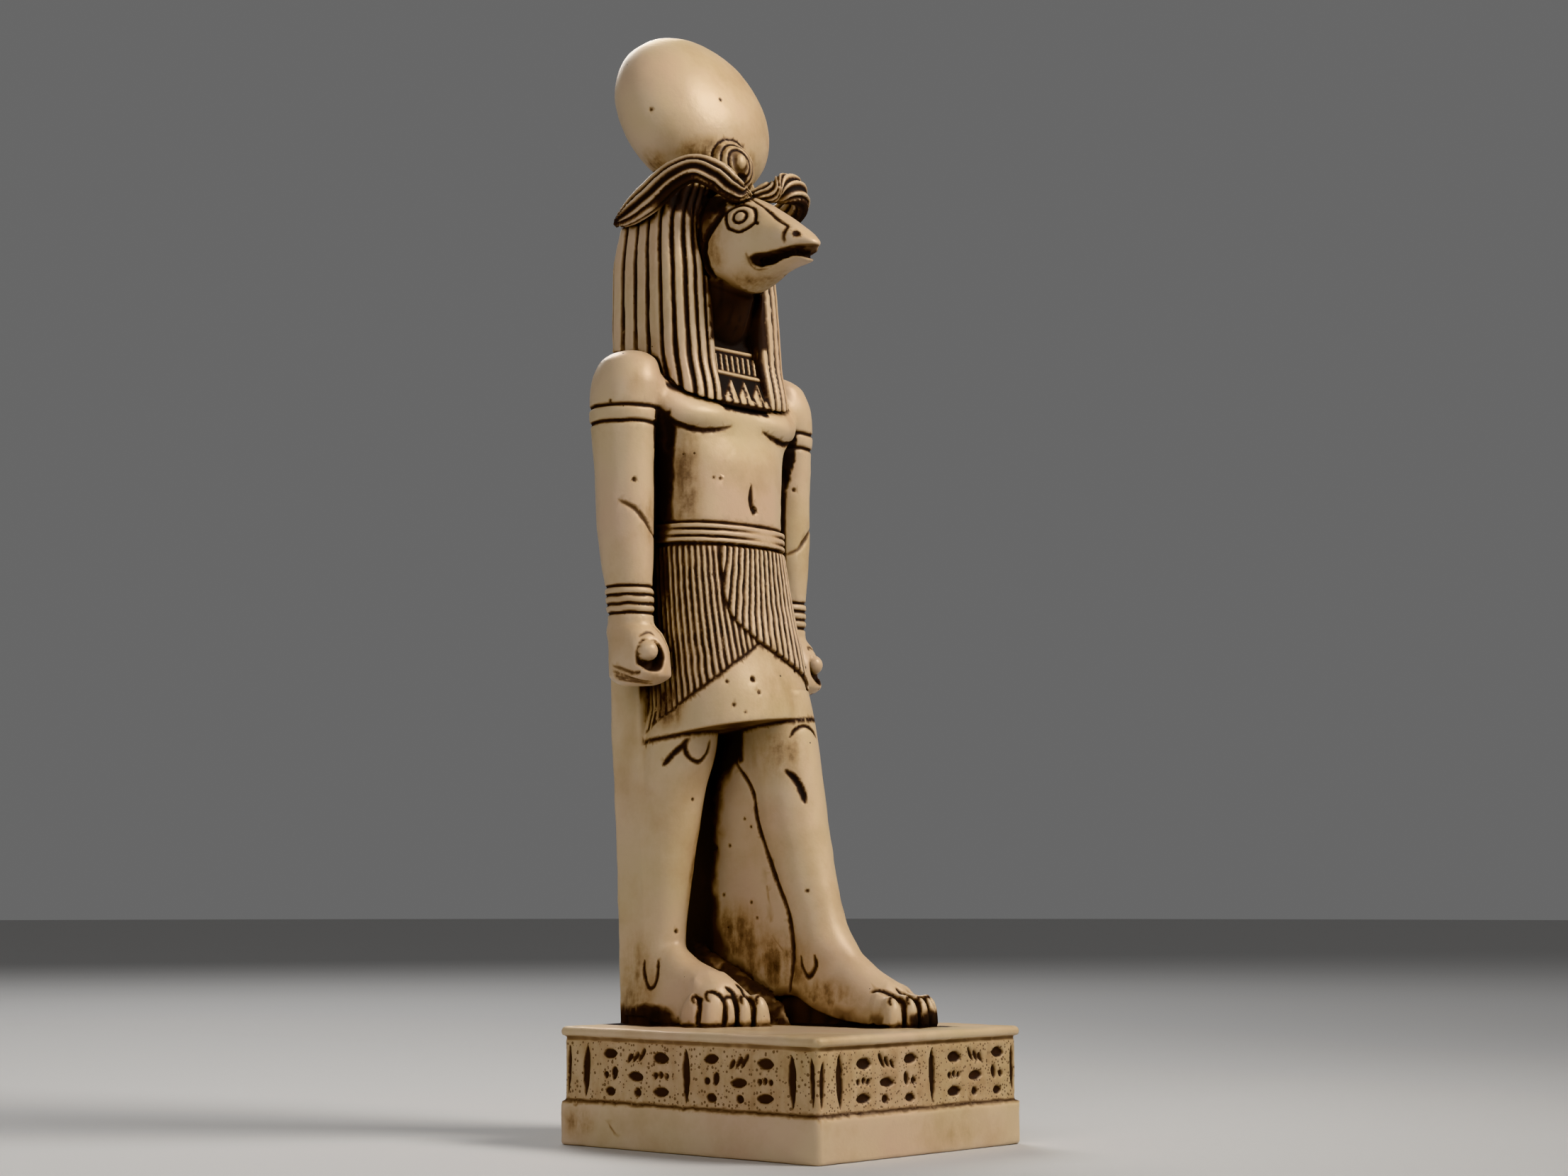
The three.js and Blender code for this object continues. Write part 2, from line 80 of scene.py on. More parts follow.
clay = np.full(COUNTS, AIR, np.float32)
wash_and_shade = np.zeros(COUNTS, np.uint8)
print("grains of clay:", clay.size)


def places(cut):
    """The coordinates of the grains in a cut of the block."""
    x, y, z = (axis[part] for axis, part in zip(AXES, cut))
    return x[:, None, None], y[None, :, None], z[None, None, :]


def window(*spans):
    """The cut of the block between (lowest, highest) along X, Y and Z, and its grains' coordinates."""
    cut = tuple(
        slice(max(int((a - low) / GRAIN), 0), max(int((b - low) / GRAIN) + 2, 1)) for (a, b), low in zip(spans, LOW)
    )
    return (cut, *places(cut))


def press_on(cut, form, soft=0.0, seam=0.0):
    """Adds a form to the clay, with a fillet of about soft millimetres, or with a dark seam where they meet."""
    old = clay[cut].copy()
    if np.any(soft):
        part = np.clip(0.5 + 0.5 * (old - form) / soft, 0, 1)
        clay[cut] = old + (form - old) * part - soft * part * (1 - part)
    else:
        clay[cut] = np.minimum(old, form)
    if np.any(seam):
        seam = np.asarray(seam, np.float32)
        gap = np.hypot(old, form) + 0.12 * uneven(*places(cut), 1.4, 7)
        gap = gap / np.maximum(seam, 0.01)
        clay[cut] += 0.5 * seam * notch(gap, 1.3)
        brush(cut, np.clip(1.3 - gap / 0.6, 0, 1) * (seam > 0))


def cut_away(cut, tool, soft=0.3):
    """Takes the space inside a tool out of the clay, and rounds the edge that it leaves."""
    old = clay[cut]
    part = np.clip(0.5 - 0.5 * (old + tool) / soft, 0, 1)
    clay[cut] = old - (tool + old) * part + soft * part * (1 - part)


def brush(cut, amount):
    """Leaves brown, from 0 to 1, wherever there isn't more already: wash, and painted shade where shade falls."""
    amount = np.broadcast_to(amount, wash_and_shade[cut].shape)
    wash_and_shade[cut] = np.maximum(wash_and_shade[cut], (255 * np.clip(amount, 0, 1)).astype(np.uint8))


# %% [markdown]
# ## Drawing smoothly through a table
# The CAD source keeps each limb as a table of sections. Here the same tables are drawn smoothly from row to
# row, so that the facets of the solids turn into soft flesh without moving any outline.

# %% Smooth tables and lines
def flow(rows, at):
    """The columns of a table, drawn smoothly through its rows at the given places of its first column."""
    rows = np.array(sorted(rows), float)
    knots, values = rows[:, 0], rows[:, 1:]
    rise = np.diff(values, axis=0) / np.diff(knots)[:, None]
    slope = np.vstack([rise[:1], np.zeros_like(rise[1:]), rise[-1:]])
    before, after = rise[:-1], rise[1:]
    same = before * after > 0
    slope[1:-1] = np.where(same, 2 * before * after / np.where(same, before + after, 1), 0)
    at = np.clip(np.ravel(at), knots[0], knots[-1])
    i = np.clip(np.searchsorted(knots, at) - 1, 0, len(knots) - 2)
    step = (knots[i + 1] - knots[i])[:, None]
    t = (at - knots[i])[:, None] / step
    drawn = values[i] * (1 + 2 * t) * (1 - t) ** 2 + values[i + 1] * t * t * (3 - 2 * t)
    drawn += step * (slope[i] * t * (1 - t) ** 2 + slope[i + 1] * t * t * (t - 1))
    return drawn.T.astype(np.float32)


def bent(points, count):
    """A line of count points that bends smoothly through the given ones."""
    p = np.array(points, float)
    p = np.vstack([2 * p[0] - p[1], p, 2 * p[-1] - p[-2]])
    t = np.linspace(0, len(points) - 1 - 1e-6, count)
    i = t.astype(int)
    f = (t - i)[:, None]
    a, b, c, d = p[i], p[i + 1], p[i + 2], p[i + 3]
    return 0.5 * (2 * b + (c - a) * f + (2 * a - 5 * b + 4 * c - d) * f**2 + (3 * b - a - 3 * c + d) * f**3)


# %% [markdown]
# ## Forms to press on
# Limbs are ovals that change on the way up or on the way forward. Walls are blocks with rounded corners. Every
# form returns the cut of the block that it touches and its distances there, which keeps the work small.

# %% Ovals, blocks and balls
def oval(a, b, ra, rb, q):
    """How far outside an oval each place is. q is 2 for an ellipse, and a larger q is squarer."""
    u, v = np.abs(a) / ra + 1e-3, np.abs(b) / rb + 1e-3
    up, vp = u ** (q - 1), v ** (q - 1)
    total = u * up + v * vp
    f = total ** (1 / q)
    return (f - 1) * total / (f * np.hypot(up / ra, vp / rb))


def capped(side, end, edge):
    """A side and an end that meet in an edge of the given radius."""
    side, end = side + edge, end + edge
    return np.hypot(np.maximum(side, 0), np.maximum(end, 0)) + np.minimum(np.maximum(side, end), 0) - edge


def upright(rows, edge=0.5):
    """A form of level sections, each (z, x, y, half width, half depth, squareness, squareness behind)."""
    t = np.array([(*row, *(row[5:6] or (2.0,)) * 2)[:7] for row in rows])
    z0, z1 = t[:, 0].min(), t[:, 0].max()
    cut, X, Y, Z = window(
        ((t[:, 1] - t[:, 3]).min() - AIR, (t[:, 1] + t[:, 3]).max() + AIR),
        ((t[:, 2] - t[:, 4]).min() - AIR, (t[:, 2] + t[:, 4]).max() + AIR), (z0 - AIR, z1 + AIR))
    x, y, rx, ry, q, behind = flow(t.tolist(), Z)
    return cut, capped(oval(X - x, Y - y, rx, ry, np.where(Y > y, behind, q)), np.maximum(z0 - Z, Z - z1), edge)


def lying(rows, edge=0.5):
    """A form of sections across Y, each (y, x, half width, lowest z, highest z, squareness)."""
    t = np.array([(*row, 2.0)[:6] for row in rows])
    y0, y1 = t[:, 0].min(), t[:, 0].max()
    cut, X, Y, Z = window(
        ((t[:, 1] - t[:, 2]).min() - AIR, (t[:, 1] + t[:, 2]).max() + AIR),
        (y0 - AIR, y1 + AIR), (t[:, 3].min() - AIR, t[:, 4].max() + AIR))
    x, r, low, high, q = (column[:, None] for column in flow(t.tolist(), Y))
    return cut, capped(oval(X - x, Z - (low + high) / 2, r, (high - low) / 2, q), np.maximum(y0 - Y, Y - y1), edge)


def block(rows, corner=1.0, edge=0.5):
    """An upright wall, each row (z, least x, greatest x, least y, greatest y)."""
    t = np.array(rows, float)
    z0, z1 = t[:, 0].min(), t[:, 0].max()
    cut, X, Y, Z = window((t[:, 1].min() - AIR, t[:, 2].max() + AIR), (t[:, 3].min() - AIR, t[:, 4].max() + AIR),
                          (z0 - AIR, z1 + AIR))
    x0, x1, y0, y1 = flow(rows, Z)
    a = np.abs(X - (x0 + x1) / 2) - (x1 - x0) / 2 + corner
    b = np.abs(Y - (y0 + y1) / 2) - (y1 - y0) / 2 + corner
    side = np.hypot(np.maximum(a, 0), np.maximum(b, 0)) + np.minimum(np.maximum(a, b), 0) - corner
    return cut, capped(side, np.maximum(z0 - Z, Z - z1), edge)


def ball(x, y, z, rx, ry, rz, lean=0.0):
    """A ball with three radii. A positive lean tips its top towards -Y, in radians."""
    reach = max(rx, ry, rz) + AIR
    cut, X, Y, Z = window((x - reach, x + reach), (y - reach, y + reach), (z - reach, z + reach))
    c, s = math.cos(lean), math.sin(lean)
    a, b, h = X - x, (Y - y) * c + (Z - z) * s, (Z - z) * c - (Y - y) * s
    f = np.sqrt((a / rx) ** 2 + (b / ry) ** 2 + (h / rz) ** 2) + 1e-4
    return cut, (f - 1) * f / (np.sqrt((a / rx**2) ** 2 + (b / ry**2) ** 2 + (h / rz**2) ** 2) + 1e-4)


# %% [markdown]
# ## Unevenness
# Nothing on a hand-carved master is straight. The unevenness here is a box of seeded random numbers that is
# read smoothly, so it gives the same wobble on every run.

# %% Unevenness
def uneven(X, Y, Z, size, seed):
    """Smooth random heights from -1 to 1, with humps about size millimetres apart."""
    lattice = np.random.default_rng(seed).uniform(-1, 1, tuple((np.ceil((HIGH - LOW) / size) + 3).astype(int)))
    lattice = lattice.astype(np.float32)
    steps = []
    for axis, low in zip((X, Y, Z), LOW):
        t = (axis.ravel() - low) / size + 0.5
        i = t.astype(int)
        f = (t - i).astype(np.float32)
        steps.append((i, f * f * (3 - 2 * f)))
    (i, f), (j, g), (k, h) = steps
    grid = lattice[i] * (1 - f)[:, None, None] + lattice[i + 1] * f[:, None, None]
    grid = grid[:, j] * (1 - g)[None, :, None] + grid[:, j + 1] * g[None, :, None]
    return grid[:, :, k] * (1 - h) + grid[:, :, k + 1] * h


# %% [markdown]
# ## The carver's tools
# A groove is cut by moving a round-nosed tool along a line. The line is given roughly, as a few points, and is
# first moved onto the skin, so that the groove is equally deep all the way. The tool leaves wash behind it.

# %% Reading the clay and moving a line onto the skin
def probe(volume, points):
    """A block's value at each point, read between its grains."""
    t = (points - LOW) / GRAIN
    i = np.clip(t.astype(int), 0, COUNTS - 2)
    f = np.clip(t - i, 0, 1)
    value = 0
    for corner in range(8):
        step = np.array([corner & 1, corner >> 1 & 1, corner >> 2 & 1])
        weight = np.where(step, f, 1 - f).prod(1)
        value = value + weight * volume[tuple((i + step).T)]
    return value


def facing(points, reach=0.5):
    """The direction in which the skin faces, at each point."""
    steps = reach * np.eye(3)
    slope = np.stack([probe(clay, points + s) - probe(clay, points - s) for s in steps], 1)
    return slope / (np.linalg.norm(slope, axis=1, keepdims=True) + 1e-6)


def on_skin(points):
    """The points, moved to the nearest place on the skin."""
    points = np.array(points, float)
    for _ in range(8):
        points = points - np.clip(probe(clay, points), -1, 1)[:, None] * facing(points)
    return points


# %% Grooves
def notch(gap, width):
    """1 along the middle of a groove and 0 outside its width, with a round bottom."""
    return np.clip(1.15 - (2 * gap / width) ** 2, 0, 1)


def along(line, X, Y, Z):
    """Each place's distance to a line, and how far along it the nearest point is, from 0 to 1."""
    best = where = None
    for n, (a, b) in enumerate(zip(line[:-1], line[1:])):
        d = (b - a).astype(np.float32)
        x, y, z = X - np.float32(a[0]), Y - np.float32(a[1]), Z - np.float32(a[2])
        t = np.clip((x * d[0] + y * d[1] + z * d[2]) / max(float(d @ d), 1e-9), 0, 1)
        gap = (x - t * d[0]) ** 2 + (y - t * d[1]) ** 2 + (z - t * d[2]) ** 2
        here = (n + t) / (len(line) - 1)
        best, where = (gap, here) if best is None else (
            np.minimum(best, gap), np.where(gap < best, here, where))
    return np.sqrt(best), where


def score(points, width=0.8, depth=0.5, dark=1.0, count=18, thin=0.35):
    """Cuts a groove along the skin that thins out towards its ends, and leaves wash in it."""
    line = on_skin(bent(points, count))
    reach = width + 0.5
    cut, X, Y, Z = window(*zip(line.min(0) - reach, line.max(0) + reach))
    gap, where = along(line, X, Y, Z)
    wide = width * np.clip(4 * where * (1 - where), 0.02, 1) ** thin * (1 + 0.25 * uneven(X, Y, Z, 1.3, 3))
    clay[cut] += depth * notch(gap, wide)
    brush(cut, dark * np.clip((0.55 * wide - gap) / 0.3 + 0.6, 0, 1))


def prick(at, radius=0.4, dark=1.0):
    """A pinhole, left by a bubble in the resin."""
    x, y, z = on_skin([at])[0]
    cut, tool = ball(x, y, z, radius, radius, radius)
    cut_away(cut, tool, 0.15)
    brush(cut, dark * np.clip(0.8 - tool / 0.25, 0, 1))


# %% [markdown]
# ## Plinth
# The plinth is a plain slab, a sunk band and a round lip. Three blocks with different corners make it. Their
# sides are a little uneven, as a rubber mould leaves them, and the band is pitted all over.

# %% Plinth
HALF_W, HALF_L = 32.8, 36.0
SLAB_TOP, BAND_TOP, PLINTH_TOP = 8.8, 22.2, 24.6
BAND_INSET = 0.75


def tile(z0, z1, inset, edge, drift, corner=1.5, seed=1):
    """A level of the plinth, whose sides drift inwards by up to twice the given amount."""
    w, l = HALF_W - inset, HALF_L - inset
    cut, form = block([(z0, -w, w, -l, l), (z1, -w, w, -l, l)], corner, edge)
    X, Y, Z = places(cut)
    level = (Z > 0.4) * (1 + 0 * X)
    return cut, form + drift * level * (1 + uneven(X, Y, Z, 8.0, seed))


press_on(*tile(0, SLAB_TOP, 0, 0.8, 0.09, seed=1))
press_on(*tile(SLAB_TOP - 3, PLINTH_TOP - 0.35, BAND_INSET, 0.4, 0.06, seed=2), soft=0.3)
press_on(*tile(BAND_TOP + 0.05, PLINTH_TOP, -0.05, 1.15, 0.1, seed=3), soft=0.35)

cut, X, Y, Z = window((-40, 40), (-40, 40), (8.0, 11.0))
side = np.maximum(np.abs(X) - HALF_W, np.abs(Y) - HALF_L)
crumbs = 0.6 * uneven(X, Y, Z, 1.2, 21) + 0.5 * uneven(X, Y, Z, 3.3, 22)
press_on(cut, capped(side + 0.5 - 0.3 * crumbs, np.abs(Z - 8.7) - 0.45 - 0.4 * np.clip(crumbs, 0, 1), 0.25), soft=0.4)
brush(cut, 0.8 * np.clip(1.25 - np.abs(Z - 9.3 - 0.25 * crumbs) / 0.55, 0, 1) * (side > -1.8)
      * np.clip((0.1 - side) / 0.5, 0, 1))

cut, X, Y, Z = window((-40, 40), (-40, 40), (9.4, 22.6))
side = np.maximum(np.abs(X) - HALF_W, np.abs(Y) - HALF_L) + BAND_INSET
pits = np.clip(uneven(X, Y, Z, 1.1, 31) - 0.68, 0, 1) * np.clip(1 - np.abs(side) / 1.2, 0, 1)
clay[cut] += 1.1 * pits
brush(cut, 1.6 * pits)
# A groove under the lip, with wash and painted shade in it.
under_lip = np.hypot(Z - BAND_TOP + 0.1, side) + 0.1 * uneven(X, Y, Z, 1.5, 32)
clay[cut] += 0.35 * notch(under_lip, 1.1)
brush(cut, 0.8 * np.clip(1.3 - under_lip / 0.55, 0, 1))
print("plinth, mm:", 2 * HALF_W, "x", 2 * HALF_L, "x", PLINTH_TOP)

# %% [markdown]
# ## Strokes of the band
# Where the band has an inscription, this one has rows of shallow strokes that are no letters: tall tapered
# bars, dashes, lens-shaped gouges and ticks, in the columns that the solids have. Each is drawn flat, as a
# bar that swells between two ends, and sunk straight into its face.

# %% Strokes of the band
STROKE_DEPTH = 0.8


def marks(length, columns, seed):
    """Gouges in columns, each (across, middle z, half length, half height, tilt). A tall one stands upright."""
    dice = np.random.default_rng(seed)
    out = []
    step = length / columns
    for i in range(columns):
        u = -length / 2 + (i + 0.5) * step
        kind = i % 4
        lean = dice.uniform(-0.12, 0.12)
        if kind == 0:
            out += [(u, 15.6, 0.95, 5.4, lean / 3)]
        elif kind == 1:
            out += [(u, 18.9, 2.3, 1.1, lean), (u, 12.1, 2.3, 0.95, -lean)]
            out += [(u + 1.5 * k, 15.5 - 0.2 * k * k, 0.6, 0.75, 0) for k in (-1, 0, 1)]
        elif kind == 2:
            out += [(u + 1.7 * k, 18.9 - 0.4 * k, 0.55, 1.5 - 0.3 * k, 0.6) for k in (-1, 0, 1)]
            out += [(u, 14.9, 2.3, 0.95, lean), (u - 0.5, 11.7, 1.1, 0.9, 0)]
        else:
            out += [(u + 0.2, 19.3, 2.1, 1.0, -lean), (u - 1.1, 15.4, 0.8, 1.5, 0.15), (u + 1.3, 14.9, 0.75, 0.8, 0)]
            out += [(u + 0.1, 11.6, 1.5, 0.9, lean)]
    for sign in (-1, 1):
        out += [(sign * (length / 2 + 1.6), 15.6, 0.55, 4.9, 0.04 * sign)]
    return out


def sink(gouges, across, depth_in, Z, cut):
    """Sinks gouges into one face. across runs along the face, and depth_in is 0 on it and grows inwards."""
    flat = np.full(np.broadcast_shapes(across.shape, Z.shape), 9.0, np.float32)
    for u, z, long, high, tilt in gouges:
        a = (across - u) * math.cos(tilt) + (Z - z) * math.sin(tilt)
        b = (Z - z) * math.cos(tilt) - (across - u) * math.sin(tilt)
        if high > long:
            a, b, long, high = b, a, high, long
            high = high * (1 + 0.2 * np.clip(a / long, -1, 1))
        flat = np.minimum(flat, np.maximum(np.abs(b) - high * (1 - np.abs(a / long) ** 2.6), np.abs(a) - long))
    rough = 0.14 * uneven(*places(cut), 1.1, 41)
    near = np.clip(1.6 - np.abs(depth_in) / 1.0, 0, 1)
    clay[cut] += STROKE_DEPTH * near * np.clip(0.4 - (flat + rough) / 0.6, 0, 1)
    brush(cut, near * np.clip(0.6 - (flat + rough) / 0.3, 0, 1))


FACE_X, FACE_Y = HALF_W - BAND_INSET, HALF_L - BAND_INSET
for sign, columns, seed in ((-1, 8, 51), (1, 4, 52)):
    cut, X, Y, Z = window((-31, 31), (min(sign * FACE_Y - 2, sign * FACE_Y + 2), sign * FACE_Y + 2), (9.4, 21.9))
    sink(marks(2 * HALF_W - 8, columns, seed), X, FACE_Y - sign * Y, Z, cut)
for sign, columns, seed in ((-1, 9, 53), (1, 5, 54)):
    cut, X, Y, Z = window((sign * FACE_X - 2, sign * FACE_X + 2), (-34, 34), (9.4, 21.9))
    sink(marks(2 * HALF_L - 8, columns, seed), Y, FACE_X - sign * X, Z, cut)
print("strokes sunk", STROKE_DEPTH, "mm into the band")

# %% [markdown]
# ## Legs, feet and the wall between them
# A casting can't have a thin gap between two legs, so the mould maker fills it with a wall, and a wider slab
# runs up the back. The legs are ovals with a narrow ankle and a full calf. The toes are short ovals, pressed
# on one by one, and the wall's foot is rough where the rubber was trimmed.

# %% Legs and walls
REAR_LEG = [(25, -10.5, 28.5, 5.8, 7), (34, -10.4, 28, 5, 6), (43, -10.1, 27.3, 4.7, 4.8), (54, -10, 27, 5.5, 5.7),
            (65, -10, 26.3, 6.5, 6.7), (74, -9.9, 25.3, 7.1, 7.4), (83, -9.6, 23.4, 7.9, 8.2), (94, -8.6, 22, 7.4, 7.6)]
FRONT_LEG = [(25, 9.4, 1, 5.6, 8), (34, 9.2, -0.8, 5.9, 7.6), (40, 9, -2, 6.2, 7.4), (46, 9, 0.2, 5.9, 6.3),
             (56, 9, 3.6, 6.5, 6.7), (67, 9, 7, 7.4, 7.7), (75.5, 9, 8.5, 7.5, 7.8), (83, 9, 10.3, 7.9, 8.3),
             (96, 8, 13, 8.4, 8.4)]
WALL = [(24, 3.4, 13, 1, 36), (46, 3.4, 13, 0, 36), (56, 3, 13, 4, 36), (67, 2.4, 13, 7, 36), (83, 1.8, 13, 10, 36),
        (96, 1, 13, 13, 36)]
BEHIND = [(24, -14, 4, 26, 36), (60, -15, 4, 26, 36), (83, -16, 4, 26, 36)]
PILLAR = [(24, -14.6, 14.6, 27, 36.2), (62, -16.4, 16.4, 27, 36.2), (98, -18.4, 18.4, 27, 36.2),
          (160, -18.2, 18.2, 27, 36.2), (176, -17, 17, 27, 36.2)]

press_on(*block(PILLAR, corner=1.2), soft=0.8)
press_on(*block(BEHIND, corner=1.0), soft=1.0)
press_on(*block(WALL, corner=4.0), soft=1.2)
press_on(*upright(REAR_LEG), soft=1.0)
press_on(*upright(FRONT_LEG), soft=0.7)

# %% Feet
SOLE = PLINTH_TOP - 0.4
FEET = {
    "rear": ([(34, -10.6, 5, 34), (28, -10.6, 5.8, 42), (23, -10.6, 6.2, 41.2), (17.8, -10.7, 6.6, 38.2),
              (12, -10.8, 7, 36), (7.4, -10.8, 7.3, 33.4), (6, -10.8, 6.9, 31.5)],
             [(-5.7, 1.8, 2.3, 8), (-9.4, 3.2, 1.75, 8), (-12.4, 5, 1.7, 7), (-15.1, 7.2, 1.6, 6),
              (-17.4, 9.6, 1.5, 5)],
             [[(-8.8, 7.6, 32.8), (-7.4, 6.4, 32.2)], [(-12.2, 7.8, 32), (-11, 6.8, 31.4)],
              [(-15, 8.8, 31.2), (-14.2, 7.6, 30.6)], [(-17, 11.3, 30.4), (-16.8, 9.9, 29.9)]]),
    "front": ([(6.5, 9.2, 4.6, 34), (2, 9.2, 5.8, 42), (-4, 9.4, 6.3, 43.4), (-8.4, 9.8, 6.4, 41),
               (-13.4, 10.5, 6.9, 36.8), (-19.4, 11.4, 7.5, 33), (-20.8, 11.5, 7.1, 31.6)],
              [(6.2, -24.4, 2.3, 6), (9.7, -26, 1.75, 8), (12.6, -26.6, 1.7, 8), (15.2, -26.4, 1.6, 8),
               (17.5, -25.2, 1.5, 7)],
              [[(5.8, -17.6, 31.9), (7.0, -18.9, 31.9), (8.3, -20.4, 31.3), (8.2, -22.6, 30.6)],
               [(10.7, -19.4, 31.9), (11.4, -21.2, 31.2), (11.2, -23.6, 30.4)], [(14.2, -20.6, 31.6), (14.1, -22.8, 30.8)],
               [(16.4, -20.6, 31), (16.4, -22.6, 30.4)]]),
}


def instep(rows, x, y):
    """The height of a foot's skin at one place."""
    mid, wide, top = flow(rows, [y])[:, 0]
    return SOLE + (top - SOLE) * max(1 - abs((x - mid) / wide) ** 2.3, 0.02) ** (1 / 2.3)


def foot(rows, toes, ticks, shaded):
    """A foot, its toes, each (x, y of the tip, half width, length), and the ticks between. Painted shade under the toe
    tips from x shaded on.
    """
    cut, form = lying([(y, x, r, 2 * SOLE - top, top, 2.3) for y, x, r, top in rows], edge=2.0)
    low = places(cut)[2] < 26.2
    press_on(cut, form, soft=np.where(low, 0.3, 1.6), seam=0.9 * low)
    for x, y, r, length in toes:
        tip = [(y + length, 0.8 * r, instep(rows, x, y + length)),
               (y + 0.6 * length, r, min(32, max(30.8, instep(rows, x, y + 0.6 * length)))),
               (y + 2.4, r, 31.1), (y + 0.9, 0.96 * r, 30.0), (y, 0.7 * r, 28.4)]
        cut, form = lying([(v, x, w, 2 * SOLE - top, top, 2.2) for v, w, top in tip], edge=0.9)
        _, Y, Z = places(cut)
        press_on(cut, form, soft=np.interp(Y, [y + 2, y + 4], [0.3, 1.6]), seam=0.8 * (Z < 25.6))
        bow = [(x - 0.7 * r, y + 0.5, 29.4), (x - 0.65 * r, y + 1.5, 30.3), (x, y + 2.0, 30.8), (x + 0.65 * r, y + 1.5, 30.3),
               (x + 0.7 * r, y + 0.5, 29.4)]
        score(bow, 0.75, 0.4, 1.0, 14)
    for tick, (x0, y0, r0, _), (x1, y1, r1, _) in zip(ticks, toes[:-1], toes[1:]):
        x, y = (x0 + r0 + x1 - r1) / 2 if x1 > x0 else (x0 - r0 + x1 + r1) / 2, max(y0, y1)
        score([*tick, (x, y + 0.6, 29.2), (x, y + 0.3, 26.4), (x, y + 0.3, 25)], 1.15, 0.6, 1.0, 20, 0.15)
    # Painted shade under the toe tips, from x shaded on.
    tips = np.array(toes)
    cut, X, Y, Z = window((tips[0, 0] - 3, tips[-1, 0] + 3) if tips[0, 0] < tips[-1, 0]
                          else (tips[-1, 0] - 3, tips[0, 0] + 3), (tips[:, 1].min() - 1, tips[:, 1].max() + 4), (24.2, 29))
    front = np.interp(X.ravel(), *np.array(sorted((x, y) for x, y, _, _ in toes)).T)[:, None, None]
    ragged = uneven(X, Y, Z, 1.5, 61) + 0.5 * uneven(X, Y, Z, 0.8, 62)
    brush(cut, np.clip((28.4 + 0.7 * ragged - Z) / 1.4, 0, 1) * (Y < front + 1.6) * np.clip((X - shaded) / 0.8, 0, 1))


for name, (rows, toes, ticks) in FEET.items():
    foot(rows, toes, ticks, 7.8 if name == "front" else 40)
# Darker towards the plinth on the outer side of the rear foot.
cut, X, Y, Z = window((-21, -10), (8, 37), (24.2, 34))
sole_noise = uneven(X, Y, Z, 2.5, 63) + 0.6 * uneven(X, Y, Z, 1.0, 64)
top = np.interp(Y, [8, 12, 16, 20, 26, 31, 35], [24.6, 25.6, 27, 29, 30, 29, 30])
brush(cut, np.clip((top + 1.1 * sole_noise - Z) / 1.8, 0, 1) * (0.9 + 0.2 * sole_noise) * (X < -12.5))
print("toes pressed on:", sum(len(toes) for _, toes, _ in FEET.values()))

# %% Rough foot of the wall and the hollow under the arch
cut, form = lying([(27, -1, 5, 18, 42, 2), (20, -0.6, 4.6, 18, 38.5, 2), (12, 0.4, 4.2, 18, 34.2, 2),
                   (6, 1.5, 3.2, 18, 30.6, 2), (1, 2.6, 2, 18, 28.0, 2)])
X, Y, Z = places(cut)
rubble = uneven(X, Y, Z, 0.8, 71) + 0.8 * uneven(X, Y, Z, 1.8, 72)
press_on(cut, form + 0.45 * rubble, soft=0.8)
brush(cut, np.clip(1.1 - np.abs(form) / 1.8, 0, 1) * (0.82 - 0.32 * rubble) * (Z < 43) * (X > -6.4))

ARCH = [(-23, 25.0), (-18, 25.0), (-13, 25.5), (-5, 27.4), (3, 30.6), (10, 29.5), (16, 27), (24, 26)]
cut, X, Y, Z = window((1.5, 7.5), (-23, 24), (24.2, 33))
edge_z = flow(ARCH, Y)[0][None, :, None]
under = np.maximum(Z - edge_z, X - np.interp(Y, [-23, -12, 3, 24], [7.0, 6.4, 5.4, 4.6]))
cut_away(cut, np.maximum(under, 24.7 - Z), 0.5)
# Painted shadow in the hollow under the arch of the front foot.
brush(cut, np.clip(0.9 - under / 0.5, 0, 1))
# Darker towards the edge of the sole, above the hollow under the arch.
cut, X, Y, Z = window((1.5, 12), (-22, 12), (24.2, 38))
height = Z - flow(ARCH, Y)[0][None, :, None]
sole_noise = uneven(X, Y, Z, 1.6, 73) + 0.7 * uneven(X, Y, Z, 0.8, 74)
brush(cut, np.clip(0.72 - height / 6 + 0.16 * sole_noise, 0, 1) * (height > -0.5) * np.clip((9 - X) / 3, 0, 1) * (height < 4.2 + sole_noise))

# %% Wash and painted shade in the valley between the rear leg and the wall
DARK_FROM = [(24, 21), (38, 20.5), (44, 22), (48, 23.3), (54, 24), (60, 23.4), (68, 22), (73, 21.4), (77, 19.6), (80, 16.5),
             (82, 8), (92, 0)]
cut, X, Y, Z = window((-8, 4.6), (-1, 28), (26, 92))
streaks = uneven(X, Y, 0.25 * Z, 1.0, 83)
ragged = 0.6 * uneven(X, Y, Z, 4.0, 81) + 0.4 * uneven(X, Y, Z, 1.4, 82) + 0.8 * streaks
deep = (Y - flow(DARK_FROM, Z)[0] + ragged) / 2.6 + 0.35
past_thigh = np.clip((0.749 * Y - 0.663 * X - 9.9) / 0.5, 0, 1)
brush(cut, np.clip(deep, 0, 1) * np.clip((4.9 - np.abs(X + 0.9)) / 0.8, 0, 1) * past_thigh
      * (Z < 89.4 + 0.076 * X - 0.134 * Y))
score([(1.9, 17.4, 80.2), (2.1, 12.9, 74.4), (2.4, 11.5, 67.8), (2.7, 9.5, 62.1), (3.1, 6.4, 54.4), (3.4, 3.3, 47.2),
       (3.4, 2.4, 39.2), (3.4, 2.8, 35.2), (3.4, 3.2, 31.4)], 1.1, 0.7, 1.0, 36, 0.2)
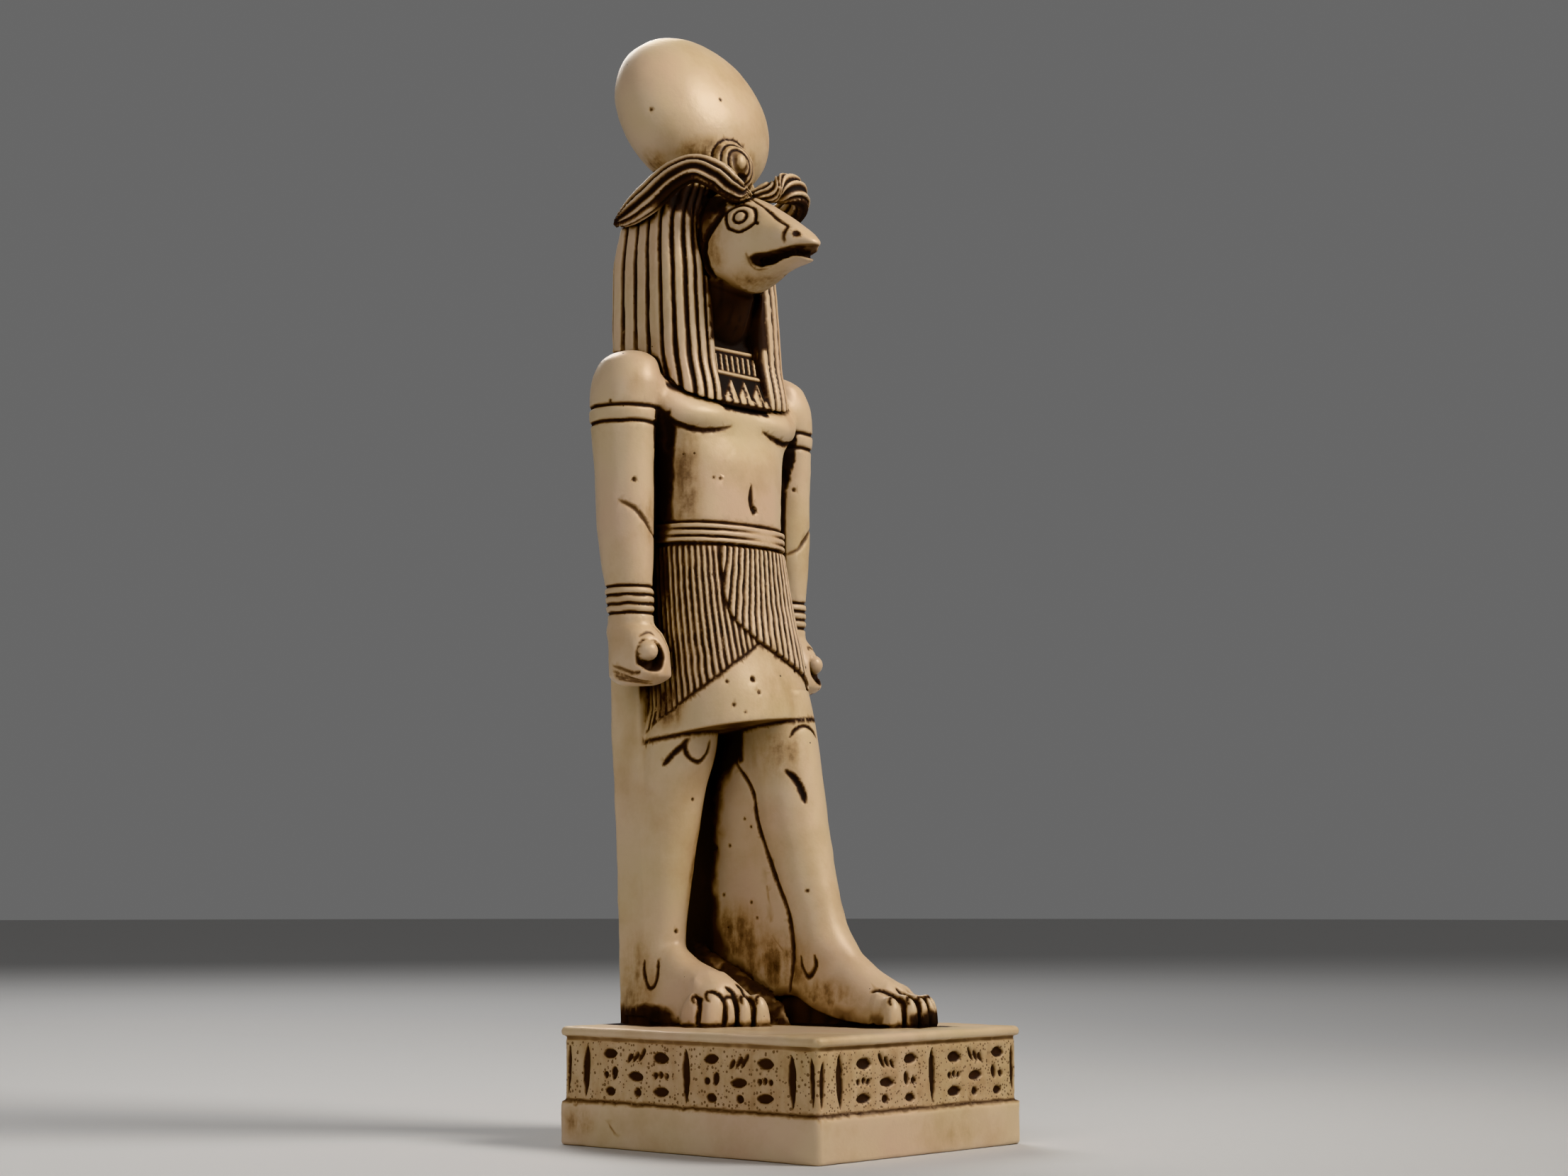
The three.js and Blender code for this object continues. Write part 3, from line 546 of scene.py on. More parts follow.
score([(2.9, 10, 57.7), (3.1, 9.4, 52.8), (3.3, 8.8, 48), (3.4, 8.6, 45.3)], 0.3, 0.15, 0.55, 10)
score([(3.4, 8.8, 43.7), (3.4, 7.2, 41.9), (3.4, 5.6, 40.4), (3.4, 4.5, 39.4)], 0.35, 0.18, 0.6, 10)

# %% Marks of knees and ankles
for line, wide in (
    ([(-16.6, 21.3, 79.2), (-16.1, 19.6, 81.1), (-15.1, 17.7, 83.1), (-13.9, 16.6, 84.9)], 1.1),
    ([(-14.3, 16.8, 84.1), (-14.4, 17.1, 82.5), (-13.3, 17, 80.9), (-11.3, 16.3, 80), (-9.9, 15.9, 81.2),
      (-9.2, 15.5, 82.6), (-8.9, 15.3, 84.5)], 0.9),
    ([(4.4, 4, 85.4), (5.5, 3.7, 86.9), (7.5, 3.2, 87.9), (9.9, 3.1, 87.4), (12.2, 3.5, 85.5)], 0.8),
    ([(3.2, 4.3, 78.3), (4.1, 2.9, 77), (5.1, 1.9, 75), (5.6, 1.3, 73), (5.8, 1, 71.4)], 1.5),
    ([(-15.3, 27.8, 38.1), (-15.2, 27.7, 35.9), (-15.6, 26.6, 33.2), (-15.8, 25.4, 32), (-15.8, 24, 33),
      (-15.4, 23.8, 35.6), (-15, 24.4, 38.2)], 0.95),
    ([(3.2, -0.3, 39.1), (3.2, -0.5, 36.9), (3.5, -2.1, 34.7), (3.6, -3.4, 35.7), (3.5, -4.2, 37.3),
      (3.2, -3.9, 39.3)], 0.95),
    ([(15.2, 1.6, 39), (15, 0.6, 36.4), (15, -1.2, 35), (15, -3, 36.4), (15.2, -3.9, 39)], 0.9),
    ([(12.8, 4.5, 78), (13.2, 3.6, 76), (13, 3.2, 73.6)], 1.1),
):
    score(line, wide, 0.45, 1.0, 18, 0.25)

# %% [markdown]
# ## Torso and arms
# The chest is broad and flat with two breast muscles, and the waist is narrow. The shoulders flow into the
# chest, while the arms hang clear of the waist with a thin web behind them. So the arm is pressed on with a
# wide fillet at the shoulder and almost none below it.

# %% Torso
TORSO = [(120, 0, 22, 16.6, 11, 2.4), (136, 0, 22, 16.3, 11, 2.4), (144, 0, 22, 16.9, 10.8, 2.4),
         (151, 0, 22.5, 19.4, 10, 2.5), (156, 0, 23.6, 23, 10.6, 3), (161, 0, 26.3, 24.4, 10.2, 2.6),
         (165, 0, 29.2, 21.5, 7.2, 2.2), (169, 0, 30.2, 18.5, 4.8, 2)]
press_on(*upright(TORSO, edge=1.5), soft=1.0)
for side in (-1, 1):
    press_on(*ball(side * 10, 21.2, 154.2, 11, 9.0, 4.4), soft=2.0)

# %% Arms
ARM = [(168, -22.5, 26, 4, 4.6), (165, -23.6, 25.6, 6.2, 6.8), (160, -24.5, 25.4, 7.3, 8), (154, -25.2, 25.4, 6.9, 7.6),
       (143, -25.4, 25, 6.1, 6.7), (131, -25.3, 24.7, 5.9, 6.3), (124, -25.1, 24.3, 5.4, 5.9), (117, -24.8, 24, 4.8, 5.3),
       (110, -24.4, 23.6, 4.6, 5.1), (106, -24.4, 23.4, 4.8, 5.4)]
FIST = [(109, 24.2, 23.6, 4.6, 4.8, 2.2), (106.5, 24.2, 22.4, 5.2, 5.8, 2.4), (102.5, 24.2, 21.3, 5.4, 6.5, 2.6),
        (98, 24.2, 21, 5.4, 6.7, 2.6), (95.8, 24.2, 21.4, 4.4, 5.4, 2.4)]
ARMLET = (155.2, 151.8)
WRIST = (116.8, 114.9, 113.0, 111.1)
ROD_X, ROD_Z, ROD_R = 26.4, 102.8, 2.3

for side in (-1, 1):
    cut, form = upright([(z, -side * x, y, rx, ry) for z, x, y, rx, ry in ARM], edge=2.0)
    X, Y, Z = places(cut)
    waver = 0.12 * uneven(X, Y, Z, 2.2, 91)
    ring = 0 * form
    for z in ARMLET:
        ring = np.maximum(ring, notch(np.abs(Z - z + waver), 1.0))
    for z in WRIST:
        ring = np.maximum(ring, notch(np.abs(Z - z + waver), 0.85))
    form = form + 0.38 * ring - 0.22 * np.clip(2.8 - np.abs(Z - 113.9), 0, 1) - 0.15 * np.clip(1.7 - np.abs(Z - 153.5), 0, 1)
    press_on(cut, form, soft=0.5 + 2.5 * np.clip((Z - 153) / 8, 0, 1))
    brush(cut, 1.2 * ring * (np.abs(form) < 1.0))
    cut, form = block([(103, *sorted((side * 14, side * 22)), 24.5, 31), (118, *sorted((side * 14, side * 22.5)), 24.5, 31),
                       (160, *sorted((side * 14, side * 23)), 24.5, 31)], corner=0.6)
    X, Y, Z = places(cut)
    rough = uneven(X, Y, Z, 1.2, 96)
    press_on(cut, form + 0.3 * rough, soft=0.6)
    # Painted shadow on the web between the arm and the body.
    cut, X, Y, Z = window((side * 18 - 4, side * 18 + 4), (13, 27), (87, 157))
    painted_web_shadow = np.clip((side * X - 14.4) / 1.0, 0, 1) * (side * X < 21.5) * (0.85 + 0.15 * uneven(X, Y, Z, 1.2, 98))
    ragged = uneven(X, Y, 0.4 * Z, 1.2, 99) + 0.6 * uneven(X, Y, Z, 3.0, 94)
    edge_y = np.interp(Z, [92, 105, 131, 140, 150], [21.5, 20.6, 18.8, 18.3, 17.0])
    brush(cut, painted_web_shadow * np.clip((Y - edge_y + 0.9 * ragged) / 1.6, 0, 1) * np.clip((Z - 91 + 1.5 * ragged) / 5, 0, 1))
    # Painted shadow in the armpit, where the arm meets the chest.
    cut, X, Y, Z = window((side * 18 - 5, side * 18 + 5), (12, 24), (127, 158))
    across = -0.6626 * side * X - 0.749 * Y
    top = np.interp(across, [-29.6, -28, -26, -24.4, -23.2], [155.4, 155.2, 154.2, 152.8, 151.4])
    strip = np.interp(Z, [127, 130.5, 134.5, 138.4, 146, 152], [-28, -26.6, -25.4, -24.8, -24.4, -23.8])
    ragged = uneven(X, Y, 0.3 * Z, 1.2, 93)
    armpit_shadow = np.clip((top - Z + 0.3 * ragged) / 0.5, 0, 1) * np.clip((strip - across + 0.25 * ragged) / 0.7, 0, 1)
    brush(cut, armpit_shadow * np.clip((across + 29.8) / 0.3, 0, 1) * (side * X < np.interp(Z, [140, 150], [21, 23])) * (side * X > 13.5))
    # More painted shadow on the web behind the arm, mottled.
    cut, X, Y, Z = window((side * 18 - 4, side * 18 + 4), (20, 26), (100, 157))
    painted_web_shadow = np.clip((side * X - 15.4) / 1.2, 0, 1) * np.clip((25.6 - Y) / 1, 0, 1) * (side * X < 21.5)
    rough = uneven(X, Y, Z, 1.2, 96)
    brush(cut, painted_web_shadow * np.clip((Y - 21.4 + 0.8 * uneven(X, Y, Z, 3, 97)) / 1.5, 0, 1) * (0.78 + 0.22 * rough))
    cut, form = upright([(z, side * x, *rest) for z, x, *rest in FIST], edge=2.2)
    press_on(cut, form, soft=1.6)
    x = side * ROD_X
    cut, X, Y, Z = window((x - 6, x + 6), (12, 21), (ROD_Z - 6, ROD_Z + 6))
    ray = np.hypot(X - x, (Z - ROD_Z + 1.0) / 1.15)
    hollow = capped(ray - 2.8 + 0.2 * uneven(X, Y, Z, 1.4, 95), Y - 17.4, 0.5)
    cut_away(cut, hollow, 0.5)
    brush(cut, np.clip(1.1 - hollow / 0.5, 0, 1))
    cut, knob = ball(x, 16.9, ROD_Z, ROD_R, 2.5, ROD_R)
    press_on(cut, knob)
    wash_and_shade[cut] = np.where(knob < 0.45 - 0.35 * np.clip(places(cut)[1] - 15.6, 0, 1.3), 0, wash_and_shade[cut])
print("armlets at", ARMLET, "and wrist bands at", WRIST)

# %% Folds of the arms, the fingers and the chest
for side in (-1, 1):
    def mirror(*points):
        return [(-side * x, y, z) for x, y, z in points]

    score(mirror((-30.6, 21.4, 134.8), (-28.6, 19.4, 133.4), (-27.4, 18.5, 132.4), (-25.6, 18.1, 130.8),
                 (-23.9, 18.1, 129), (-20.8, 19.6, 127.4)), 1.2, 0.65, 0.7, 18)
    for k in range(4):
        z = 99.6 - 1.2 * k
        score(mirror((-29.7, 24.5 - 0.2 * k, z + 0.4), (-29.5, 21, z - 0.6), (-28.2, 18, z - 1.6), (-26 + k * 0.6, 16.2, z - 2.2)),
              0.7, 0.35, 0.75, 14)
    score(mirror((-23.5, 18.2, 109.4), (-22.6, 17.6, 107), (-21.6, 16.4, 104.6), (-21, 15.6, 102), (-20.6, 15.8, 99.4)),
          0.6, 0.3, 0.5, 14)
    score(mirror((-28, 17.8, 105.6), (-26.8, 17, 106.6), (-25.4, 17, 106.8), (-24.6, 16.8, 105.8)), 0.7, 0.25, 0.7, 10)
    score(mirror((-21.8, 19, 156), (-20.5, 18, 154.5), (-18.6, 17, 152.8), (-16.4, 15.9, 151.9), (-14.2, 14.9, 151.3),
                 (-12.2, 13.9, 151.1), (-8.4, 13, 151.6), (-5, 12.8, 152.7)), 1.25, 0.8, 1.0, 26, 0.4)
    score(mirror((-20.8, 17, 154.2), (-20, 17.4, 150.6), (-19.6, 17.7, 147), (-19.4, 17.9, 142)), 2.0, 0.9, 1.0, 22, 0.4)
NAVEL = [(-0.2, 11.1, 140.4), (-0.4, 11.1, 138.2), (-0.4, 11.1, 136.5), (-0.1, 11, 135), (0.4, 11, 133.6)]
score(NAVEL, 1.25, 0.8, 1.0, 14, 0.5)
prick((0.2, 11, 134.6), 0.85)
press_on(*ball(0.3, 11.5, 134.4, 0.5, 0.6, 0.6), soft=0.2)

# %% [markdown]
# ## Kilt and belt
# The kilt is two pleated panels that cross in front over a smooth apron. The pleats are counted out evenly
# along the girth, so they fan as the kilt widens. The panel on top has pleats that fan from the hip. Where a
# panel ends there is a step and a dark line. The belt is three flat bands, rubbed almost smooth in front.

# %% Counting along the girth
def girth(rx, ry, q, back=None):
    """A table from direction to distance along an oval's edge, both from 0 to 1. Its back half may be squarer."""
    a = np.linspace(0, 2 * np.pi, 721)
    bend = np.where(a < np.pi, 2 / (back or q), 2 / q)
    x, y = (np.sign(f) * np.abs(f) ** bend for f in (np.cos(a), np.sin(a)))
    run = np.concatenate([[0], np.cumsum(np.hypot(np.diff(x * rx), np.diff(y * ry)))])
    turn = np.unwrap(np.arctan2(y, x)) / (2 * np.pi)
    return turn, run / run[-1], run[-1]


def count_round(u, v, low, high, part):
    """How far round the girth each place is, from 0 to 1, between a low and a high section."""
    turn = np.arctan2(v, u) / (2 * np.pi) % 1
    share = [np.interp(turn, *girth(*row)[:2]) for row in (low, high)]
    return (share[0] * (1 - part) + share[1] * part).astype(np.float32)


# %% Kilt
KILT = [(80, 1.8, 19, 18.4, 16.6, 2.5), (90, 1.6, 19.2, 18.3, 16, 2.5), (102, 1, 20, 18, 14.2, 2.5),
        (114, 0.4, 21.2, 17.5, 12.5, 2.5), (126.2, 0, 22, 17, 11.2, 2.4)]
UNDER_EDGE = [(-38, 84), (-35.9, 86.1), (-33.4, 87.8), (-30.5, 89.5), (-27.1, 91.2), (-23.8, 93.1), (-20, 95.2),
              (-15.7, 97.8), (-11.4, 100.8), (-6.3, 103.7), (-2.9, 105.7)]
OVER_EDGE = [(-0.5, 104.6), (2.9, 103), (5.8, 101.6), (9.2, 100.2), (13.8, 98.3), (18, 95.8), (22.5, 92.6), (27, 89.5),
             (33, 86), (36, 83)]
PANELS = [(-70, 60), (-40, 60), *UNDER_EDGE, *OVER_EDGE, (40, 60), (70, 60), (70, 140), (-70, 140)]
FLAP = [(-9.2, 140), (-9.4, 124), (-9.7, 120.1), (-9.9, 116), (-9.6, 113), (-8.9, 110.9), (-7.2, 108.9), (-5.1, 107.4),
        (-2.9, 105.7), *OVER_EDGE, (38, 60), (38, 140)]
PLEATS = 70


def outline(points, a, b):
    """How far outside a flat closed outline each place is."""
    best, inside = None, False
    for (pa, pb), (qa, qb) in zip(points, points[1:] + points[:1]):
        ea, eb = qa - pa, qb - pb
        t = np.clip(((a - pa) * ea + (b - pb) * eb) / (ea * ea + eb * eb), 0, 1)
        gap = np.hypot(a - pa - t * ea, b - pb - t * eb)
        best = gap if best is None else np.minimum(best, gap)
        if pb != qb:
            inside = inside ^ (((pb > b) != (qb > b)) & (a < pa + (b - pb) / (qb - pb) * ea))
    return np.where(inside, -best, best)


cut, bare = upright(KILT, edge=0.4)
X, Y, Z = places(cut)
x, y, rx, ry, q = flow(KILT, Z)
part = np.clip((Z - 80) / 47.5, 0, 1)
round_it = count_round((X - x) / rx, (Y - y) / ry, (18.4, 16.6, 2.5), (17, 11.2, 2.4), part)
waver = 0.09 * uneven(X, Y, Z, 3.0, 101)
pitch = (girth(18.4, 16.6, 2.5)[2] * (1 - part) + girth(17, 11.2, 2.4)[2] * part) / PLEATS
from_front = ((round_it - 0.25) % 1 - 0.5) * pitch * PLEATS
fold = round_it * PLEATS + waver
under_gap = np.abs(fold - np.round(fold)) * pitch
fan_pitch = 1.5 * (1 + 0.0135 * (127.5 - Z))
fan = (12.5 - X) / fan_pitch + waver
flap_gap = np.where(Y < y, np.abs(fan - np.round(fan)) * fan_pitch, under_gap)
panel_edge, flap_edge = outline(PANELS, from_front, Z) + 0.15 * waver, outline(FLAP, from_front, Z)
hem = (0.076 * X - 0.134 * Y - (Z - 89.5)) / math.hypot(0.076, 0.134, 1)
ragged = 0.3 + 0.25 * uneven(X, Y, Z, 1.4, 103)

GROOVE_W = 0.95
apron = bare + 0.45
under = capped(bare + 0.5 * notch(under_gap, GROOVE_W) + 0.1, panel_edge, 0.25)
over = capped(bare - 0.5 + 0.5 * notch(flap_gap, GROOVE_W), flap_edge, 0.3)
skirt = capped(np.minimum(np.minimum(apron, under), over), hem, 0.5)
press_on(cut, skirt, soft=0.2)

shell = np.clip(2.2 - np.abs(bare) / 0.6, 0, 1) * (Y < 34.6) * (hem < 0.6)
on_flap = flap_edge < 0
pleat_dark = np.where(on_flap, notch(flap_gap, GROOVE_W), notch(under_gap, GROOVE_W) * (panel_edge < 0))
brush(cut, shell * pleat_dark * (1 + 0.3 * uneven(X, Y, Z, 2.0, 104)))
brush(cut, shell * np.clip(1.15 - np.abs(panel_edge - 0.25) / (0.4 + 0.3 * ragged), 0, 1))
brush(cut, shell * np.clip(1.15 - np.abs(flap_edge - 0.3) / (0.35 + 0.3 * ragged), 0, 1) * (panel_edge < 0.6) * (Y < 27))
# A dark line along the hem, and painted shadow just below it on the legs.
brush(cut, np.clip(1.3 - np.abs(hem - 0.35) / 0.6, 0, 1) * (bare < 4.5) * (Y < 27.2))
print("pleats round the girth:", PLEATS, "about", round(float(pitch.max()), 2), "mm apart at the hem")

# %% Belt
BELT_LOW, BELT_HIGH = 126.8, 131.0
cut, form = upright([(BELT_LOW, 0, 22, 17.5, 11.7, 2.4), (BELT_HIGH, 0, 22, 17.4, 11.6, 2.4)], edge=0.45)
X, Y, Z = places(cut)
rub = np.clip(0.75 + 0.6 * uneven(X, Y, Z, 7.0, 111) - 0.5 * np.exp(-((X - 3) / 8) ** 2), 0.12, 1)
level = Z + 0.1 * uneven(X, Y, Z, 3.0, 112)
lines = np.maximum(notch(np.abs(level - 128.1), 0.75), notch(np.abs(level - 129.7), 0.65))
press_on(cut, form + 0.5 * rub * lines, soft=0.15)
brush(cut, 1.2 * rub * lines * (np.abs(form) < 0.9))
cut, X, Y, Z = window((-19, 19), (8, 30), (124, 133))
girdle = np.abs(oval(X, Y - 22, 17, 11.3, 2.4)) < 1.6
edges = np.minimum(np.abs(Z - BELT_HIGH - 0.25), np.abs(Z - BELT_LOW + 0.25)) + 0.12 * uneven(X, Y, Z, 1.5, 113)
clay[cut] += 0.3 * notch(edges, 0.8) * girdle
brush(cut, 1.1 * np.clip(1.2 - edges / 0.5, 0, 1) * girdle)

# %% [markdown]
# ## Wig and collar
# The wig is a block round the head with grooves from crown to chest, wide apart on the sides and closer in
# front. It stands a millimetre proud of the shoulders and ends in a dark line. Between its two lappets lies
# the collar, a sloping plate in the shade, whose raised bars, strokes and teeth are rubbed pale.

# %% Wig
WIG = [(150, 0, 25.0, 18.2, 12.95, 4.2, 9), (159, 0, 25.3, 18.3, 12.85, 4.2, 9), (168.7, 0, 26.25, 18.5, 11.65, 4.2, 9),
       (178, 0, 26.6, 18.5, 11.3, 4, 9), (188, 0, 27, 18.4, 10.8, 3.8, 9), (195, 0, 27.4, 17.6, 10.1, 3.5, 7),
       (200, 0, 27.5, 16.8, 9.5, 3.2, 5), (208.5, 0, 26.2, 13.2, 9.2, 2.5, 2.8), (215, 0, 24.8, 7, 6.8, 2.2, 2.2)]
WIG_EDGE = [(5, 157.3), (12, 157.5), (14, 158.4), (17.3, 160.3), (22.7, 163.6), (27, 166.7), (31, 169.1), (40, 170.4)]
OPENING = [(150, 7, 18.6), (176, 7.2, 18.6), (182, 8.4, 18.6), (190, 9.6, 18.6), (199, 9.4, 18.6), (206, 7, 18)]
WIG_ROUND = (18.5, 11.5, 4.0, 9.0)
STRIPES = [(0, 0, 2.5), (15, 6, 2.5), (21, 8.0, 3.9), (60, 18, 3.9)]

cut, form = upright(WIG, edge=1.0)
X, Y, Z = places(cut)
x, y, rx, ry, q, _ = flow(WIG, Z)
turn, run, length = girth(*WIG_ROUND)
share = count_round(X / rx, (Y - y) / ry, WIG_ROUND, WIG_ROUND, 0)
from_front = np.abs((share - np.interp(0.75, turn, run) + 0.5) % 1 - 0.5) * length
at_front, counted, apart = np.array(STRIPES, float).T
stripe = np.interp(from_front, at_front, counted).astype(np.float32) + 0.05 * uneven(X, Y, Z, 6.0, 121)
stripe_gap = np.abs(stripe - np.round(stripe)) * np.interp(from_front, at_front, apart).astype(np.float32)
slot_w, slot_y = flow(OPENING, Z)
slot = capped(np.abs(X) - slot_w, Y - slot_y, 0.6)
edge_z = flow(WIG_EDGE, Y)[0][None, :, None]
lower = edge_z - Z
wide = np.interp(from_front, [12, 16], [1.1, 1.4]) + 0.2 * uneven(X, Y, Z, 4.0, 122) + 0.08 * uneven(X, Y, Z, 1.3, 125)
grooved = form + 0.65 * notch(stripe_gap, wide)
wig = np.maximum(np.maximum(grooved, -slot), lower * 0.85)
press_on(cut, wig, soft=0.1, seam=1.0)
skin_near = np.clip(2.4 - np.abs(form) / 0.5, 0, 1) * (lower < 0.2)
brush(cut, 1.3 * skin_near * notch(stripe_gap, wide) * (1 + 0.2 * uneven(X, Y, Z, 2.0, 123)))
hem_line = np.abs(lower - 0.35) + 0.12 * uneven(X, Y, Z, 1.2, 124)
brush(cut, np.clip(1.35 - hem_line / 0.6, 0, 1) * (np.abs(form) < 1.8))
# Painted shade on the wig's inner sides, beside the face and the neck.
brush(cut, 0.85 * np.clip(1 - np.abs(np.abs(X) - slot_w) / 0.9, 0, 1) * (Y < slot_y) * (Z > 158) * (form < -1.2))
print("wig stripes", STRIPES[-1][2], "mm apart on the sides and", STRIPES[0][2], "mm in front")

# %% Collar and neck
NECK = [(166, 0, 25, 6.4, 5.4), (171, 0, 24, 6.2, 5.6), (177, 0, 20.8, 6, 6), (186, 0, 19, 7.4, 7)]
press_on(*upright(NECK), soft=1.0)
cut, X, Y, Z = window((-7.8, 7.8), (10, 28), (155, 177))
plate_y = 12.6 + 0.4 * (Z - 158)
plate = capped(capped(plate_y - Y, np.abs(X) - 7.6, 0.2), np.maximum(157.2 - Z, Z - 172 - 0.2 * Y), 0.3)
tooth = np.abs(((X - 0.35 * (Z - 160)) / 4.2 + 0.5) % 1 - 0.5) * 2
bars = np.maximum(notch(np.abs(Z - 170.4), 0.9), notch(np.abs(Z - 164.7 + 0.02 * X), 1.0))
bars = np.maximum(bars, (np.abs(Z - 158.5) < 0.6) * 1.0)
strokes = notch(np.abs(((X - 0.25 * (Z - 167)) / 1.75) % 1 - 0.5) * 1.75, 0.7) * (np.abs(Z - 167.4) < 1.9)
teeth = np.clip((1.6 - 1.9 * tooth - (Z - 160.0) * 0.42) / 0.35, 0, 1) * (np.abs(Z - 161.1) < 2.7)
raised = np.maximum(np.maximum(bars, strokes), teeth)
press_on(cut, plate - 0.45 * raised, soft=0.1, seam=0.6)
brush(cut, (1 - 1.0 * raised) * (np.abs(plate) < 1.2) * (np.abs(X) < 7.3))
brush(cut, np.clip(1.3 - np.abs(Z - 157.3) / 0.45, 0, 1) * (np.abs(X) < 7.5) * (Y < 15))
# Painted shade on the throat under the jaw.
cut, X, Y, Z = window((-9, 9), (11, 27), (170, 186))
brush(cut, np.clip((Z - 171.2) / 0.5, 0, 1) * np.clip((187.5 - Z + 0.5 * (Y - 14)) / 5, 0, 1)
      * (0.92 + 0.08 * uneven(X, Y, Z, 3.0, 131)))

# %% [markdown]
# ## Ram's head
# The head is a form that narrows from the wig to the muzzle. The eye is a raised ring in an almond of dark
# line. A fine line runs down the nose and bends round the nostril, and the open mouth is a deep slit.

# %% Head
HEAD = [(24, 0, 9.8, 183, 206.4, 2.2), (16, 0, 9.8, 182.6, 205.8, 2.2), (12, 0, 9.5, 182.6, 204.4, 2.2),
        (8, 0, 8.6, 184, 202.5, 2.3), (4, 0, 7.2, 185.6, 200.2, 2.3), (0, 0, 5.8, 186.6, 197.5, 2.3),
        (-2.6, 0, 4.9, 187.0, 195.6, 2.4), (-4.4, 0, 4.1, 187.3, 194.1, 2.4), (-5.2, 0, 3.2, 187.5, 193.4, 2.4)]
UPPER_LIP = [(4, 0, 6.8, 189.6, 198, 2.3), (-4.6, 0, 4.1, 189.8, 194, 2.4), (-5.8, 0, 3.1, 190.0, 193.1, 2.3),
             (-7.0, 0, 2.0, 190.2, 192.1, 2.2), (-7.8, 0, 0.9, 190.3, 191.3, 2.0)]
press_on(*lying(HEAD, edge=1.3), soft=0.3, seam=1.5)
press_on(*lying(UPPER_LIP, edge=0.5), soft=0.8)
MOUTH = [(5.8, 188.4), (4.7, 189), (1.8, 189.2), (-2.6, 189.7), (-5, 190.2), (-9, 190.4), (-9, 188.2), (-5, 188.2),
         (-3.4, 188.2), (-0.6, 187.8), (1.4, 187.2), (4.7, 186.7), (5.6, 187.2)]
cut, X, Y, Z = window((-9, 9), (-8, 8), (185, 193))
slit = np.maximum(outline(MOUTH, Y, Z) + 0.12 * uneven(X, Y, Z, 1.2, 141), np.where(Y > -4, 2.4 - np.abs(X), -9))
cut_away(cut, slit, 0.35)
brush(cut, np.clip(1.0 - np.where(np.abs(X) < 4.6, outline(MOUTH, Y, Z), slit) / 0.35, 0, 1))


def stamp(at, toward, up, reach, pattern):
    """Lays a small pattern flat on the skin. pattern(a, b) gives height and wash, a sideways and b up."""
    centre = on_skin([at])[0]
    n = np.array(toward) / np.linalg.norm(toward)
    b_dir = np.array(up) - np.dot(up, n) * n
    b_dir /= np.linalg.norm(b_dir)
    a_dir = np.cross(b_dir, n)
    cut, X, Y, Z = window(*((c - reach, c + reach) for c in centre))
    a, b, c = ((X - centre[0]) * d[0] + (Y - centre[1]) * d[1] + (Z - centre[2]) * d[2] for d in (a_dir, b_dir, n))
    height, dark = pattern(a, b)
    near = np.clip(2.5 - np.abs(c), 0, 1)
    clay[cut] -= height * near
    brush(cut, dark * near)


def eye(a, b, tilt):
    """A raised pupil and ring inside a lens of dark line, whose tips point along a, tilted by an angle."""
    a, b = a * math.cos(tilt) - b * math.sin(tilt), b * math.cos(tilt) + a * math.sin(tilt)
    ray = np.hypot(a, b)
    lens = np.maximum(np.abs(b) - 3.2, 0.8 * np.abs(a) + 0.6 * np.abs(b) - 3.1) + np.hypot(a / 1.15, b) - 3.35
    lens = lens / 2
    line, ring = notch(np.abs(lens), 0.85), notch(np.abs(ray - 1.5), 0.85)
    line = np.maximum(line, notch(np.abs(b), 0.9) * (np.abs(a) > 3.7) * (np.abs(a) < 4.8))
    dome = 0.5 * np.clip(1 - (ray / 3.0) ** 2, 0, 1)
    return dome - 0.5 * line - 0.55 * ring, np.maximum(1.3 * line, 1.3 * ring)


for side in (-1, 1):
    def mirror(*points):
        return [(-side * x, y, z) for x, y, z in points]

    stamp((side * 8.6, 7.3, 197.9), (side * 0.92, -0.3, 0.24), (0, -0.18, 1), 5.0, lambda a, b: eye(a, b, -0.22 * side))
    score(mirror((-2.9, 9.1, 203.1), (-3.3, 6.5, 201.4), (-3.3, 4.8, 200.1), (-3.6, 1.8, 197.8), (-3.8, -0.6, 195.9),
                 (-3.5, -2.4, 194.6), (-4.3, -2.5, 193.4), (-4.6, -2.3, 192.2), (-4.6, -2.6, 191)), 0.9, 0.55, 1.0, 26, 0.2)
    x, y, z = on_skin([(side * 3.3, -4.7, 192.7)])[0]
    cut, tool = ball(x + side * 0.25, y - 0.2, z, 0.95, 0.85, 0.8)
    cut_away(cut, tool, 0.2)
    brush(cut, np.clip(1.2 - tool / 0.3, 0, 1))
    score(mirror((-8.6, 11.6, 199.8), (-9.3, 13, 197.4), (-9.7, 15.2, 194.4), (-9.6, 16.8, 191), (-8.6, 16.6, 187.6),
                 (-6.7, 16.2, 185.4)), 1.9, 0.7, 1.0, 26, 0.2)
    # Painted shade behind the cheek band, between the head and the wig.
    cut, X, Y, Z = window(*(sorted((side * 7.5, side * 12)), (12, 19), (189, 203)))
    band_y = np.interp(Z, [187.6, 191, 194.4, 197.4, 199.8, 203], [16.6, 16.8, 15.2, 13, 11.6, 10.8])
    behind = np.clip((Y - band_y) / 0.6, 0, 1) * np.clip((Z - 189.5) / 2, 0, 1)
    brush(cut, behind * np.maximum(0.62 + 0.35 * uneven(X, Y, 0.3 * Z, 0.9, 142), np.clip((Z - 197.8) / 1.5, 0, 1)))
    score(mirror((-7.3, 6.3, 189.7), (-6.7, 6.3, 188.3), (-5.5, 6.2, 186.9), (-3.9, 5.4, 186.2), (-2.9, 2.9, 186.5)),
          0.6, 0.3, 0.6, 14)
print("eyes, nostrils and mouth cut")

